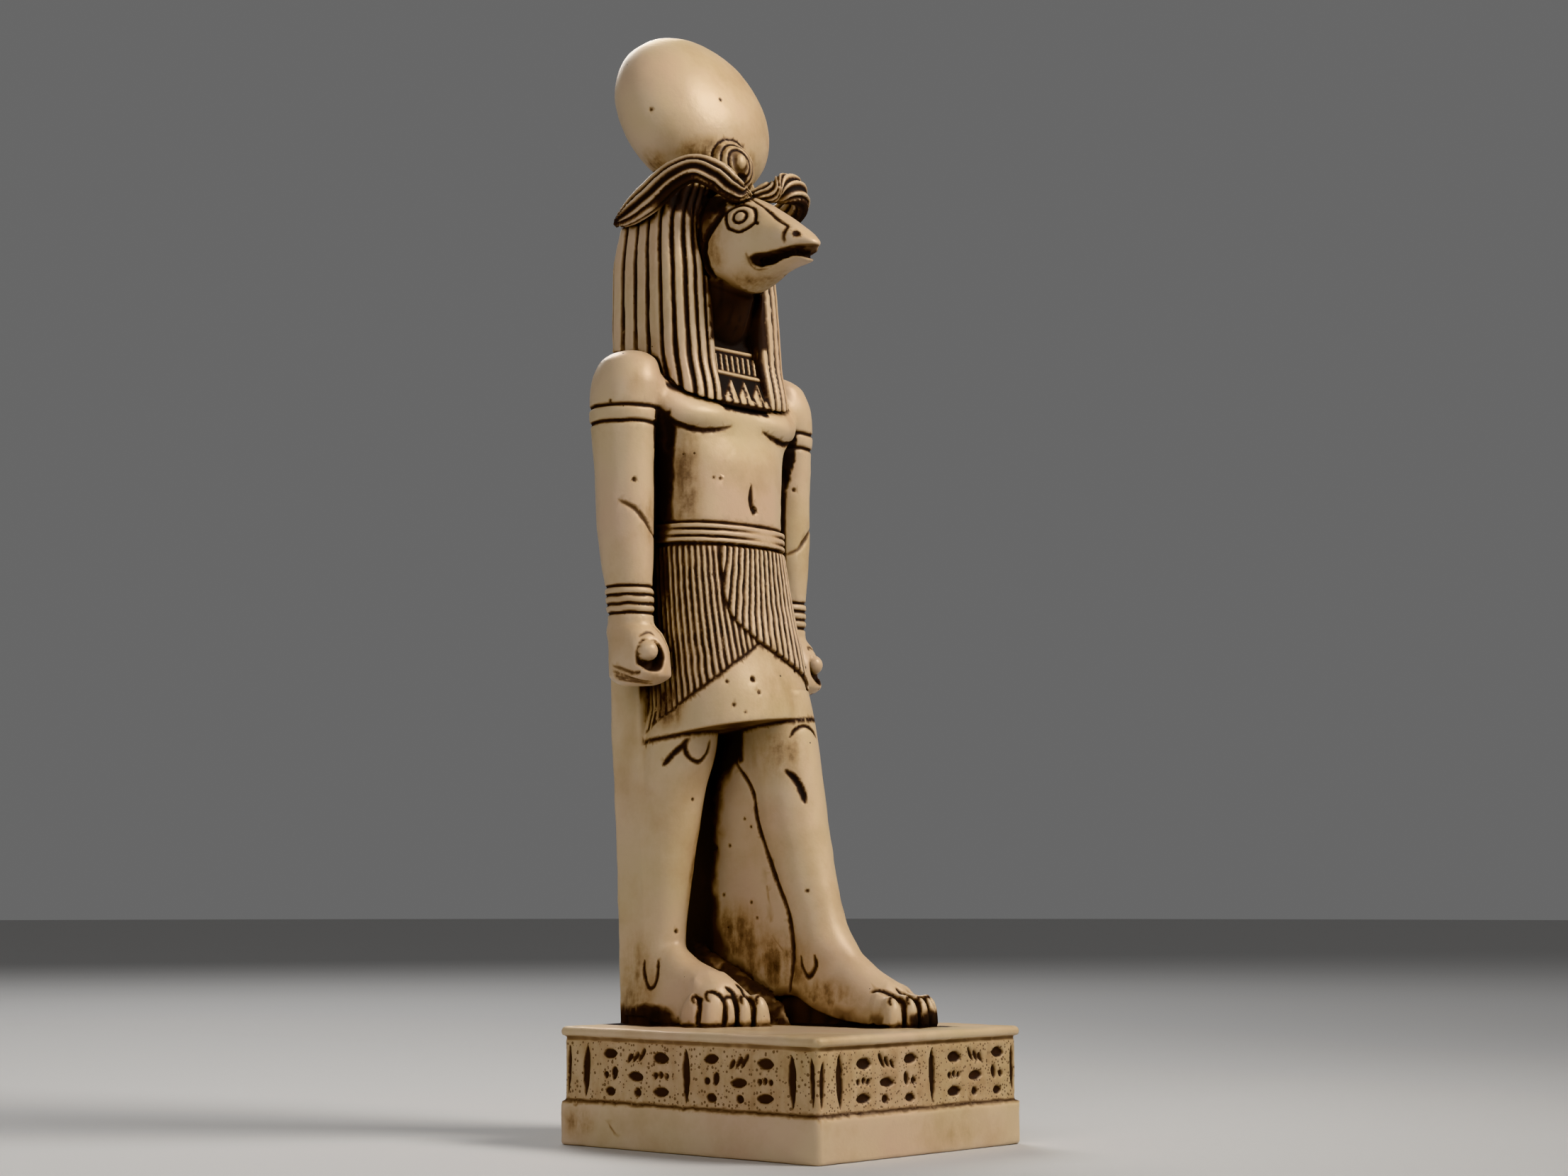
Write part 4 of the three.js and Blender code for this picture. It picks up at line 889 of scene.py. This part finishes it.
# %% [markdown]
# ## Horns, crown and disc
# Each horn springs from the brow, arches outward and sweeps back along the wig. It is a bent oval rod with
# ridges along it. The rod is measured from its middle line: how far up and how far out each place is tells
# both its skin and the place of its ridges. The disc is a thick smooth lens that leans back.

# %% Horns
HORNS = {
    -1: [(2.6, 11.3, 203, 2.2, 1.9), (6, 9.6, 203.3, 2.5, 2.1), (9.6, 9.1, 204.4, 2.9, 2.3), (12.8, 10.3, 206.3, 3.2, 2.4),
         (16.2, 13.2, 207.6, 3.3, 2.4), (18.6, 17.4, 206, 3.6, 2.3), (19.2, 24, 202.4, 3.9, 2.1), (18.6, 30, 200.2, 3.2, 1.8),
         (17.6, 35.4, 199, 1.6, 1.2)],
    1: [(2.8, 11.2, 204.6, 2.6, 1.9), (5.6, 9.6, 206.1, 3.2, 2.2), (9.6, 9.1, 207.2, 3.6, 2.4), (14, 10.3, 207.4, 3.7, 2.4),
        (17.6, 13.4, 206.4, 3.7, 2.4), (19.2, 18, 204.6, 3.7, 2.3), (19.2, 24, 202.6, 3.6, 2), (18.6, 30, 200.6, 3, 1.8),
        (17.6, 35.4, 199.4, 1.6, 1.2)],
}
RIDGES = 9


def horn(side):
    """One horn, the wash in its grooves, and painted shadow under it."""
    rows = bent([(side * x, *rest) for x, *rest in HORNS[side]], 101)
    line = rows[:, :3]
    cut, X, Y, Z = window(*zip(line.min(0) - 5.5, line.max(0) + 5.5))
    _, where = along(line, X, Y, Z)
    ahead = np.gradient(line, axis=0)
    ahead /= np.linalg.norm(ahead, axis=1, keepdims=True)
    out = np.array([side, -0.35, 0.25]) - ahead * (ahead @ np.array([side, -0.35, 0.25]))[:, None]
    out /= np.linalg.norm(out, axis=1, keepdims=True)
    up = np.cross(out, ahead) * side
    steps = np.linspace(0, 1, len(line))

    def read(column):
        return np.interp(where, steps, column).astype(np.float32)

    gap = [grid - read(line[:, k]) for k, grid in enumerate((X, Y, Z))]
    rise, bulge = (sum(g * read(way[:, k]) for k, g in enumerate(gap)) for way in (up, out))
    high, thick = read(rows[:, 3]), read(rows[:, 4])
    form = oval(rise, bulge, high, thick, 2.2)
    turn = np.arctan2(bulge / thick, rise / high) / (2 * np.pi) * RIDGES + 0.5 + 0.04 * uneven(X, Y, Z, 3, 151)
    pitch = 2 * np.pi * np.sqrt((high**2 + thick**2) / 2) / RIDGES
    groove = notch(np.abs(turn - np.round(turn)) * pitch, 1.15 + 0.75 * (np.abs(turn - 3) < 0.5))
    form = np.maximum(form + 0.6 * groove, sum(g * read(ahead[:, k]) for k, g in enumerate(gap)) - 0.6)
    press_on(cut, form, soft=0.1, seam=0.9)
    brush(cut, 1.25 * groove * (np.abs(form) < 0.9))
    # Painted shadow on the underside of the horn, and below it on the wig.
    brush(cut, np.clip((1.5 - form) / 0.8, 0, 1) * (rise < -0.6 * high)
          * ((Y > 12.5) | (rise < -0.85 * high) & (side * X > 6.5)) * np.clip((23 - Y) / 3, 0, 1))
    shadow_z = np.interp(Y, [12, 17, 19, 22], [198.4, 198.8, 200.4, 201.4])
    shadow = np.clip((Z - shadow_z + 0.7 * uneven(X, Y, Z, 1.2, 152)) / 1.2, 0, 1) * np.clip((form - 0.4) / 0.4, 0, 1)
    across = -0.6626 * side * X - 0.749 * Y
    brush(cut, shadow * (Z < 206) * (side * X > 6) * np.clip((-14.4 - across) / 0.4, 0, 1) * np.clip((22.5 - Y) / 2, 0, 1))
    # Hollows under the horn, with painted shadow in them.
    for x, y, z, r in ((15, 19.5, 202.8, 2.2), (13, 17, 202.6, 2.6), (10.5, 15, 202.5, 2.3), (8.4, 13.2, 201.8, 1.4)):
        cut, tool = ball(side * x, y, z, r, r, r)
        cut_away(cut, tool, 0.4)
        brush(cut, np.clip((1.6 - tool) / 0.8, 0, 1) * (places(cut)[1] > 12.3))


for side in (-1, 1):
    horn(side)

# %% Crown and disc
DISC_Y, DISC_Z, DISC_R, DISC_THICK, DISC_H, DISC_LEAN = 29.1, 224.8, 20.7, 12.1, 19.5, -0.4
press_on(*upright([(204, 0, 27, 10, 8), (212, 0, 27.4, 9.6, 8), (220, 0, 28.6, 8.4, 7)]), soft=1.5)
press_on(*ball(0, DISC_Y, DISC_Z, DISC_R, DISC_THICK, DISC_H, DISC_LEAN), soft=0.5, seam=0.8)
cut, dome = ball(-1.2, 17.5, 210.6, 7.2, 5, 6.4)
X, Y, Z = places(cut)
ray = np.sqrt((X + 1.8) ** 2 + (Y - 14.2) ** 2 * 0.8 + (Z - 211.2) ** 2)
arcs = np.maximum(notch(np.abs(ray - 3.3), 0.8), np.maximum(notch(np.abs(ray - 4.7), 0.7), notch(np.abs(ray - 6.1), 0.7)))
press_on(cut, dome + 0.4 * arcs, soft=0.6)
brush(cut, 1.1 * arcs * (np.abs(dome) < 1.1))
press_on(*ball(-1.8, 13.9, 211.4, 2.3, 2.0, 2.7), soft=0.2, seam=0.6)
score([(-2.4, 13.2, 209.0), (-1.0, 12.9, 208.2), (0.4, 13.1, 208.8)], 2.0, 0.6, 1.0, 8)
print("disc", 2 * DISC_R, "mm wide")

# %% [markdown]
# ## Bubbles, chips and a crack
# Cast resin shows where it was careless: pinholes, a chipped corner, a fine crack across the slab. Those that
# can be seen from the front stand where they are on the real one, and the others are scattered.

# %% Bubbles, chips and a crack
for x, y, z, r in ((-28.2, 19.1, 139.2, 0.5), (-31.4, 23, 156, 0.35), (-15.7, 16.7, 145.7, 0.3), (-14.1, 15, 145.9, 0.3),
                   (-10.3, 12.8, 140.9, 0.3), (-8.8, 12.3, 140.8, 0.35), (22.6, 18.7, 142.2, 0.45), (-5.6, 5.8, 97.4, 0.6),
                   (-4.5, 5.1, 94.6, 0.4), (-10.5, 6.7, 91.8, 0.42), (-11.2, 8.1, 96.7, 0.4), (-8.4, 5.4, 90.3, 0.3),
                   (8.9, 6.6, 99.9, 0.35), (-10.7, 18.4, 72.1, 0.35), (-11.2, 22.5, 44.1, 0.45), (4, -1.3, 52.7, 0.35),
                   (2.7, 24, 62, 0.5), (2.6, 19.8, 62.4, 0.35), (3.2, 22.2, 51.8, 0.35), (3.4, 21, 44.8, 0.3),
                   (3.2, 14.2, 50.2, 0.35), (3.4, 12.6, 46.9, 0.3), (2.4, 15.3, 68.1, 0.3), (2.4, 13.5, 66.4, 0.3),
                   (-18.5, 24, 222, 0.4), (-4, 17, 226, 0.35)):
    prick((x, y, z), r)

score([(-32.8, 23.1, 7.1), (-32.8, 21.1, 4.9), (-32.8, 19.4, 3.2), (-32.8, 17.7, 2.1)], 0.35, 0.2, 0.7, 10)
for x, y, z, r in ((-32.9, -36.1, 23.6, 0.9), (-32.3, -36.2, 8.9, 0.8), (-30.4, -36.2, 8.9, 0.6), (-32.9, 31, 9.0, 0.9),
                   (12, -36.2, 8.9, 0.5), (32.8, -20, 24.4, 0.6)):
    cut, tool = ball(x, y, z, r, r, r)
    X, Y, Z = places(cut)
    cut_away(cut, tool + 0.3 * uneven(X, Y, Z, 0.9, 161), 0.3)
    brush(cut, 0.5 * np.clip(0.8 - tool / 0.4, 0, 1))

for low in range(0, COUNTS[2], 90):
    part = (slice(None), slice(None), slice(low, low + 90))
    X, Y, Z = places(part)
    clay[part] += 0.09 * uneven(X, Y, Z, 5.0, 171) + 0.05 * uneven(X, Y, Z, 2.2, 172)

# %% [markdown]
# ## Skinning the clay
# The skin is found where the numbers pass through zero. In every small cube of eight grains that has both clay
# and air, one point is set at the mean of its crossings, and the points of neighbouring cubes are joined into
# four-sided faces. That gives an even, closed mesh with far too many faces, so Blender's Decimate modifier
# then thins it where it is flat and keeps the faces where the carving is.

# %% Skinning
def skin(volume):
    """Points and four-sided faces of the surface where the volume passes through zero."""
    full = volume < 0
    size = np.array(volume.shape) - 1
    held = np.zeros(size, np.uint8)
    for corner in range(8):
        i, j, k = corner & 1, corner >> 1 & 1, corner >> 2 & 1
        held += full[i:i + size[0], j:j + size[1], k:k + size[2]]
    cells = np.argwhere((held > 0) & (held < 8)).astype(np.int32)
    number = np.full(size, -1, np.int32)
    number[tuple(cells.T)] = np.arange(len(cells), dtype=np.int32)
    value = {}
    for corner in range(8):
        step = (corner & 1, corner >> 1 & 1, corner >> 2 & 1)
        value[step] = volume[tuple((cells + np.array(step, np.int32)).T)]
    total, hits = np.zeros((len(cells), 3)), np.zeros(len(cells))
    for step, here in value.items():
        for axis in range(3):
            if step[axis]:
                continue
            other = tuple(1 if n == axis else s for n, s in enumerate(step))
            there = value[other]
            crosses = (here < 0) != (there < 0)
            t = np.where(crosses, here / np.where(crosses, here - there, 1), 0)
            point = np.tile(np.array(step, float), (len(cells), 1))
            point[:, axis] = t
            total += point * crosses[:, None]
            hits += crosses
    points = LOW + GRAIN * (cells + total / hits[:, None])
    faces = []
    for axis in range(3):
        b, c = (axis + 1) % 3, (axis + 2) % 3
        near = [slice(1, -1)] * 3
        far = [slice(1, -1)] * 3
        near[axis], far[axis] = slice(0, -1), slice(1, None)
        first, second = full[tuple(near)], full[tuple(far)]
        at = np.argwhere(first != second)
        offset = np.ones(3, int)
        offset[axis] = 0
        turned = first[tuple(at.T)]
        at = at + offset
        ring = []
        for db, dc in ((0, 0), (-1, 0), (-1, -1), (0, -1)):
            cell = at.copy()
            cell[:, b] += db
            cell[:, c] += dc
            ring.append(number[tuple(cell.T)])
        quad = np.stack(ring, 1)
        faces.append(np.where(turned[:, None], quad, quad[:, ::-1]))
    return points, np.concatenate(faces)


points, faces = skin(clay)

def relaxed(points, faces, share):
    """The points, each moved by a share of the way to the middle of its neighbours."""
    a, b = faces.ravel(), np.roll(faces, -1, axis=1).ravel()
    ways = np.bincount(a, minlength=len(points)) + np.bincount(b, minlength=len(points))
    sums = [np.bincount(a, points[b, k], len(points)) + np.bincount(b, points[a, k], len(points)) for k in range(3)]
    return points + share * (np.stack(sums, 1) / ways[:, None] - points)


for share in (0.5, -0.52, 0.5, -0.52):
    points = relaxed(points, faces, share)
lowest, highest = (np.array(corner) * 1000 for corner in cad_box)
points = np.clip(points, lowest, highest)
print("skinned:", len(points), "points and", len(faces), "faces")

# %% Mesh
mesh = bpy.data.meshes.new("khnum_casting")
mesh.vertices.add(len(points))
mesh.vertices.foreach_set("co", points.astype(np.float32).ravel())
mesh.loops.add(4 * len(faces))
mesh.loops.foreach_set("vertex_index", faces.ravel().astype(np.int32))
mesh.polygons.add(len(faces))
mesh.polygons.foreach_set("loop_start", np.arange(0, 4 * len(faces), 4, dtype=np.int32))
mesh.update(calc_edges=True)
mesh.validate()
casting = bpy.data.objects.new("khnum_casting", mesh)
bpy.context.scene.collection.objects.link(casting)

# %% Thinning
TRIANGLES = 197_000
if 2 * len(faces) > TRIANGLES:
    contrast = 0
    for reach, share in ((0.6, 1.0), (1.6, 0.6)):
        steps = [(0, 0, 0)] + [tuple(reach * k * np.eye(3)[axis]) for axis in range(3) for k in (-1, 1)]
        near = [wash_and_shade[tuple(np.clip(np.rint((points + s - LOW) / GRAIN).astype(int), 0, COUNTS - 1).T)] for s in steps]
        contrast = np.maximum(contrast, share * (np.max(near, 0).astype(float) - np.min(near, 0)) / 255)
    group = casting.vertex_groups.new(name="plain places")
    for share in range(8):
        here = np.flatnonzero(np.round(contrast * 7) == share)
        group.add(here.tolist(), 1 - 0.9 * share / 7, "REPLACE")
    thin = casting.modifiers.new("thin out", "DECIMATE")
    thin.ratio = TRIANGLES / (2 * len(faces))
    thin.use_collapse_triangulate = True
    thin.vertex_group, thin.vertex_group_factor = group.name, 0.05
    graph = bpy.context.evaluated_depsgraph_get()
    thinned = bpy.data.meshes.new_from_object(casting.evaluated_get(graph))
    casting.modifiers.clear()
    casting.vertex_groups.clear()
    casting.data = thinned
    bpy.data.meshes.remove(mesh)
    mesh = thinned
mesh.transform(Matrix.Scale(0.001, 4))
mesh.polygons.foreach_set("use_smooth", np.ones(len(mesh.polygons), bool))
print("thinned to", len(mesh.polygons), "faces")

# %% [markdown]
# ## Reading the wash and painted shade back
# Each point of the mesh now asks the clay three things: how much wash and painted shade a tool left there, how
# deep it sits in a crease, and how much of the air above it is walled in. They are kept as attributes, which the
# finish reads.

# %% Attributes for the finish
at = np.empty(3 * len(mesh.vertices), np.float32)
mesh.vertices.foreach_get("co", at)
at = at.reshape(-1, 3).astype(float) * 1000
normal = facing(at, 0.35)


def walled_in(points, normal, reaches, ways=48):
    """The share of the air above each point that other clay fills, out to the given distances."""
    k = np.arange(ways) + 0.5
    rise, turn = 1 - 2 * k / ways, np.pi * (1 + 5**0.5) * k
    spread = np.sqrt(1 - rise**2)
    shut, open_sky = np.zeros(len(points)), np.zeros(len(points))
    for way in np.stack([spread * np.cos(turn), spread * np.sin(turn), rise], 1):
        weight = np.clip(normal @ way - 0.1, 0, 1)
        blocked = np.zeros(len(points), bool)
        for reach in reaches:
            spot = np.rint((points + normal * 0.35 + way * reach - LOW) / GRAIN).astype(int)
            spot = np.clip(spot, 0, COUNTS - 1)
            blocked |= clay[tuple(spot.T)] < 0
        shut += weight * blocked
        open_sky += weight
    return shut / open_sky


def keep(name, values):
    """Stores one number per point on the mesh."""
    mesh.attributes.new(name, "FLOAT", "POINT").data.foreach_set("value", np.asarray(values, np.float32))
    print(f"{name}: mean {values.mean():.3f}, highest {values.max():.3f}")


around = [probe(clay, at + 0.8 * np.array(way)) for way in
          ((1, 0, 0), (-1, 0, 0), (0, 1, 0), (0, -1, 0), (0, 0, 1), (0, 0, -1))]
keep("tool_wash_and_shade", probe(wash_and_shade, at) / 255)
keep("crease", np.clip(-np.mean(around, 0) / 0.3, 0, 1))
keep("rubbed", np.clip(np.mean(around, 0) / 0.3, 0, 1))
keep("walled_in", walled_in(at, normal, (1.5, 2.5, 4.0, 6.0)))
side = np.maximum(np.abs(at[:, 0]) - HALF_W, np.abs(at[:, 1]) - HALF_L)
keep("pitted", (side > -1.6) * np.clip((at[:, 2] - 9.2) / 0.4, 0, 1) * np.clip((22.0 - at[:, 2]) / 0.4, 0, 1))

# Brown stains of the resin, and painted shade under the jaw, behind the cheeks, under the fists and between the legs
# and the arms.
STAINS_AND_SHADE = [(-15.2, 16.3, 139, 3, 3.5, 13, 0.5), (4, -6, 30.5, 4, 8, 3.5, 0.6), (-3, 18, 213, 11, 6, 3.5, 0.8),
          (0, 17, 209, 12, 8, 5, 0.6), (-13.9, 26.7, 211, 4, 4, 3, 0.6),
          (4, 7, 82, 4, 7, 6, 0.5), (2, 4.5, 97, 13, 4, 9, 0.22), (0, 4.5, 104, 9, 3, 3, 0.35), (-27, 19.5, 160, 3, 3, 3, 0.2),
          (-23.5, 18, 131, 3, 3, 5, 0.4), (-21, 19, 140, 2, 3, 30, 0.3), (-26, 14, 99, 3, 3, 3, 0.4), (26, 14, 99, 3, 3, 3, 0.4),
          (-17.5, 20, 93, 3, 4.5, 5, 0.95), (-33, 30, 4.8, 2, 5, 3, 0.45), (10, -36.5, 3.5, 9, 2, 3, 0.25),
          (3.4, 8, 37, 3, 11, 6, 0.7), (3.4, 19, 43, 3, 8, 6, 0.7), (-6.2, 21.4, 55, 2.4, 3, 32, 0.5), (-16, 30, 30, 4, 6, 12, 0.5),
          (0, 10, 183, 9, 11, 4, 0.5), (-9.5, 14, 193, 3, 3, 9, 0.5), (-19, 20, 186, 4, 14, 20, 0.16)]
stain = np.zeros(len(at))
for x, y, z, rx, ry, rz, strength in STAINS_AND_SHADE:
    ray = np.sqrt(((at - (x, y, z)) ** 2 / np.square((rx, ry, rz))).sum(1))
    stain = np.maximum(stain, strength * np.clip(1.5 - ray, 0, 1))
keep("stain", stain)

# %% [markdown]
# ## Finish
# One material covers the casting. Ivory resin varies between a pinkish and an olive tone. Over it lies the
# wash: thin and yellow where a cloth spread it and brown in the grooves. Painted shade darkens it towards
# almost black where other clay walls a place in, and painted shade and stains are laid on at listed places.
# The three attributes are added up, broken up by noise, and read through one colour ramp. Pinholes too
# small to model are a scatter of dark dots, and a fine bump stands for the grain of the stone powder.

# %% Finish
finish = bpy.data.materials.new("ivory_with_wash_and_painted_shade")
finish.use_nodes = True
nodes, links = finish.node_tree.nodes, finish.node_tree.links
gloss = nodes["Principled BSDF"]
gloss.inputs["IOR"].default_value = 1.5
gloss.inputs["Specular IOR Level"].default_value = 0.42


def node(kind, **settings):
    """A new node with its settings and, by socket name or number, its input values."""
    made = nodes.new(kind)
    for name, value in settings.items():
        if name.startswith("in_"):
            made.inputs[int(name[3:])].default_value = value
        else:
            setattr(made, name, value)
    return made


def calc(kind, a, b=None, clamp=False):
    """A sum on two values or sockets."""
    made = node("ShaderNodeMath", operation=kind, use_clamp=clamp)
    for slot, value in enumerate((a, b)):
        if value is None:
            continue
        if isinstance(value, (int, float)):
            made.inputs[slot].default_value = value
        else:
            links.new(value, made.inputs[slot])
    return made.outputs[0]


def attribute(name):
    """The value kept on the mesh under that name."""
    return node("ShaderNodeAttribute", attribute_name=name).outputs["Fac"]


place = node("ShaderNodeTexCoord").outputs["Object"]


def clouds(scale, detail=3.0, rough=0.5, tall=1.0):
    """Soft noise in metres of the object's own space, from 0 to 1, drawn out along Z by a factor."""
    made = node("ShaderNodeTexNoise", noise_dimensions="3D")
    made.inputs["Scale"].default_value = scale
    made.inputs["Detail"].default_value = detail
    made.inputs["Roughness"].default_value = rough
    drawn = node("ShaderNodeMapping")
    drawn.inputs["Scale"].default_value = (1, 1, 1 / tall)
    links.new(place, drawn.inputs["Vector"])
    links.new(drawn.outputs[0], made.inputs["Vector"])
    return made.outputs["Fac"]


def ramp(value, stops):
    """Reads a value through colour stops, each (place, colour)."""
    made = node("ShaderNodeValToRGB")
    band = made.color_ramp
    while len(band.elements) < len(stops):
        band.elements.new(0.5)
    for stop, (where, colour) in zip(band.elements, stops):
        stop.position = where
        stop.color = (*colour, 1)
    links.new(value, made.inputs[0])
    return made.outputs[0]


def mixed(amount, first, second, blend="MIX"):
    """Two colours mixed by an amount."""
    made = node("ShaderNodeMix", data_type="RGBA", blend_type=blend)
    for slot, value in ((0, amount), (6, first), (7, second)):
        if isinstance(value, bpy.types.NodeSocket):
            links.new(value, made.inputs[slot])
        else:
            made.inputs[slot].default_value = value
    return made.outputs[2]


# %% Wash and painted shade over ivory
ivory = ramp(clouds(38, 4), [(0.3, (0.66, 0.475, 0.335)), (0.5, (0.67, 0.51, 0.345)), (0.7, (0.63, 0.49, 0.30))])
# Painted shade: the more other clay walls a place in, the darker it is, added to the wash in creases.
hollow = calc("MULTIPLY", calc("SUBTRACT", attribute("walled_in"), 0.30), 1.9, clamp=True)
spread = calc("MULTIPLY", calc("SUBTRACT", clouds(150, 5, 0.65), 0.42), 0.55)
shade_wash_and_stain = calc("ADD", calc("MULTIPLY", attribute("crease"), 0.3), hollow)
shade_wash_and_stain = calc("ADD", shade_wash_and_stain, calc("MULTIPLY", spread, calc("MULTIPLY", shade_wash_and_stain, 1.8, clamp=True)), clamp=True)
mottle = calc("MULTIPLY", calc("SUBTRACT", clouds(260, 4, 0.7), 0.3), 2.6, clamp=True)
streaks = calc("MULTIPLY", calc("SUBTRACT", clouds(300, 3, 0.6, tall=4), 0.34), 3.0, clamp=True)
mottle = calc("ADD", calc("MULTIPLY", mottle, 0.5), calc("MULTIPLY", streaks, 0.5))
film = calc("MULTIPLY", calc("SUBTRACT", clouds(55, 5, 0.62), 0.46), 0.9, clamp=True)
shade_wash_and_stain = calc("MAXIMUM", shade_wash_and_stain, calc("MULTIPLY", calc("MULTIPLY", attribute("stain"), mottle), 1.25))
shade_wash_and_stain = calc("MAXIMUM", shade_wash_and_stain, film)
brown = calc("MAXIMUM", attribute("tool_wash_and_shade"), shade_wash_and_stain)
brown = calc("SUBTRACT", brown, calc("MULTIPLY", attribute("rubbed"), 0.12), clamp=True)



def pinholes(scale, rarity, radius):
    """A scatter of dots, 1 inside each. rarity is from 0 to 1, and radius is in parts of the spacing."""
    dots = node("ShaderNodeTexVoronoi", feature="F1")
    dots.inputs["Scale"].default_value = scale
    links.new(place, dots.inputs["Vector"])
    picker = node("ShaderNodeSeparateColor")
    links.new(dots.outputs["Color"], picker.inputs[0])
    size = calc("MULTIPLY", picker.outputs[1], radius)
    return calc("MULTIPLY", calc("GREATER_THAN", picker.outputs[0], rarity), calc("GREATER_THAN", size, dots.outputs["Distance"]))


band_pits = calc("MULTIPLY", attribute("pitted"), pinholes(1350, 0.2, 0.48))
hole = calc("MAXIMUM", pinholes(330, 0.94, 0.1), band_pits)
brown = calc("MAXIMUM", brown, calc("MULTIPLY", pinholes(330, 0.94, 0.1), 0.8))
brown = calc("MAXIMUM", brown, calc("MULTIPLY", band_pits, 0.55))
band_film = calc("ADD", 0.08, calc("MULTIPLY", mottle, 0.3))
brown = calc("MAXIMUM", brown, calc("MULTIPLY", attribute("pitted"), band_film))

cover = ramp(brown, [(0.0, (0, 0, 0)), (0.18, (0.32, 0.32, 0.32)), (0.45, (0.76, 0.76, 0.76)), (0.75, (1, 1, 1))])
wash_and_shade_colour = ramp(brown, [(0.0, (0.46, 0.27, 0.07)), (0.3, (0.35, 0.175, 0.035)), (0.5, (0.14, 0.058, 0.014)),
                           (0.78, (0.038, 0.014, 0.006)), (1.0, (0.008, 0.004, 0.003))])
links.new(mixed(cover, ivory, wash_and_shade_colour), gloss.inputs["Base Color"])

# %% Gloss and grain
worn = calc("ADD", 0.31, calc("MULTIPLY", clouds(90, 3), 0.16))
links.new(calc("ADD", worn, calc("MULTIPLY", brown, 0.42)), gloss.inputs["Roughness"])
bump = node("ShaderNodeBump")
bump.inputs["Strength"].default_value = 0.25
bump.inputs["Distance"].default_value = 0.0002
links.new(calc("ADD", clouds(900, 3, 0.6), calc("MULTIPLY", hole, -2.0)), bump.inputs["Height"])
links.new(bump.outputs[0], gloss.inputs["Normal"])
mesh.materials.clear()
mesh.materials.append(finish)

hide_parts("statue_casting")
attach(casting, "root")

# %% [markdown]
# ## Studio
# A plain pale floor and soft light show the object alone. The key light is large and stands up to the right of
# the camera, where the highlights of the disc and the feet are. The camera has the photograph's own viewpoint,
# found by fitting the plinth's corners: about 60 cm away, a little above the plinth and looking slightly up.

# %% Floor and light
bpy.ops.mesh.primitive_circle_add(vertices=64, radius=4, fill_type="NGON", location=(0, 0, 0))
floor = bpy.context.object
floor.name = "floor"
paper = bpy.data.materials.new("pale_paper")
paper.use_nodes = True
paper.node_tree.nodes["Principled BSDF"].inputs["Base Color"].default_value = (0.62, 0.61, 0.60, 1)
paper.node_tree.nodes["Principled BSDF"].inputs["Roughness"].default_value = 0.85
floor.data.materials.append(paper)

sky = bpy.data.worlds.new("studio")
bpy.context.scene.world = sky
sky.use_nodes = True
sky.node_tree.nodes["Background"].inputs["Color"].default_value = (0.80, 0.80, 0.80, 1)
sky.node_tree.nodes["Background"].inputs["Strength"].default_value = 0.22
bpy.context.scene.view_settings.view_transform = "Khronos PBR Neutral"


def lamp(name, at, size, power, warmth=(1, 1, 1), aim_z=0.12, spread=180):
    """A square soft light that looks at the middle of the figure."""
    light = bpy.data.lights.new(name, "AREA")
    light.shape, light.size, light.energy, light.color = "SQUARE", size, power, warmth
    light.spread = math.radians(spread)
    holder = bpy.data.objects.new(name, light)
    holder.location = at
    aim = bpy.data.objects["khnum_casting"].matrix_world.translation.copy()
    aim.z = aim_z
    holder.rotation_euler = (aim - holder.location).to_track_quat("-Z", "Y").to_euler()
    bpy.context.scene.collection.objects.link(holder)


lamp("key", (0.3, -0.6, 0.7), 0.4, 0.9, (1, 0.97, 0.93), 0.2, 60)
lamp("fill", (-0.8, -0.3, 0.45), 0.6, 2.1, (1, 0.97, 0.94))
lamp("rim", (0.4, 0.7, 0.8), 0.5, 4)

# %% Camera
eye_point = bpy.data.cameras.new("photo_view")
eye_point.sensor_width = 36
eye_point.lens = 65.21
camera = bpy.data.objects.new("photo_view", eye_point)
camera.location = (-0.45252, -0.39853, 0.0539)
camera.rotation_euler = (math.radians(95.97), 0, math.radians(-48.50))
bpy.context.scene.collection.objects.link(camera)
bpy.context.scene.camera = camera
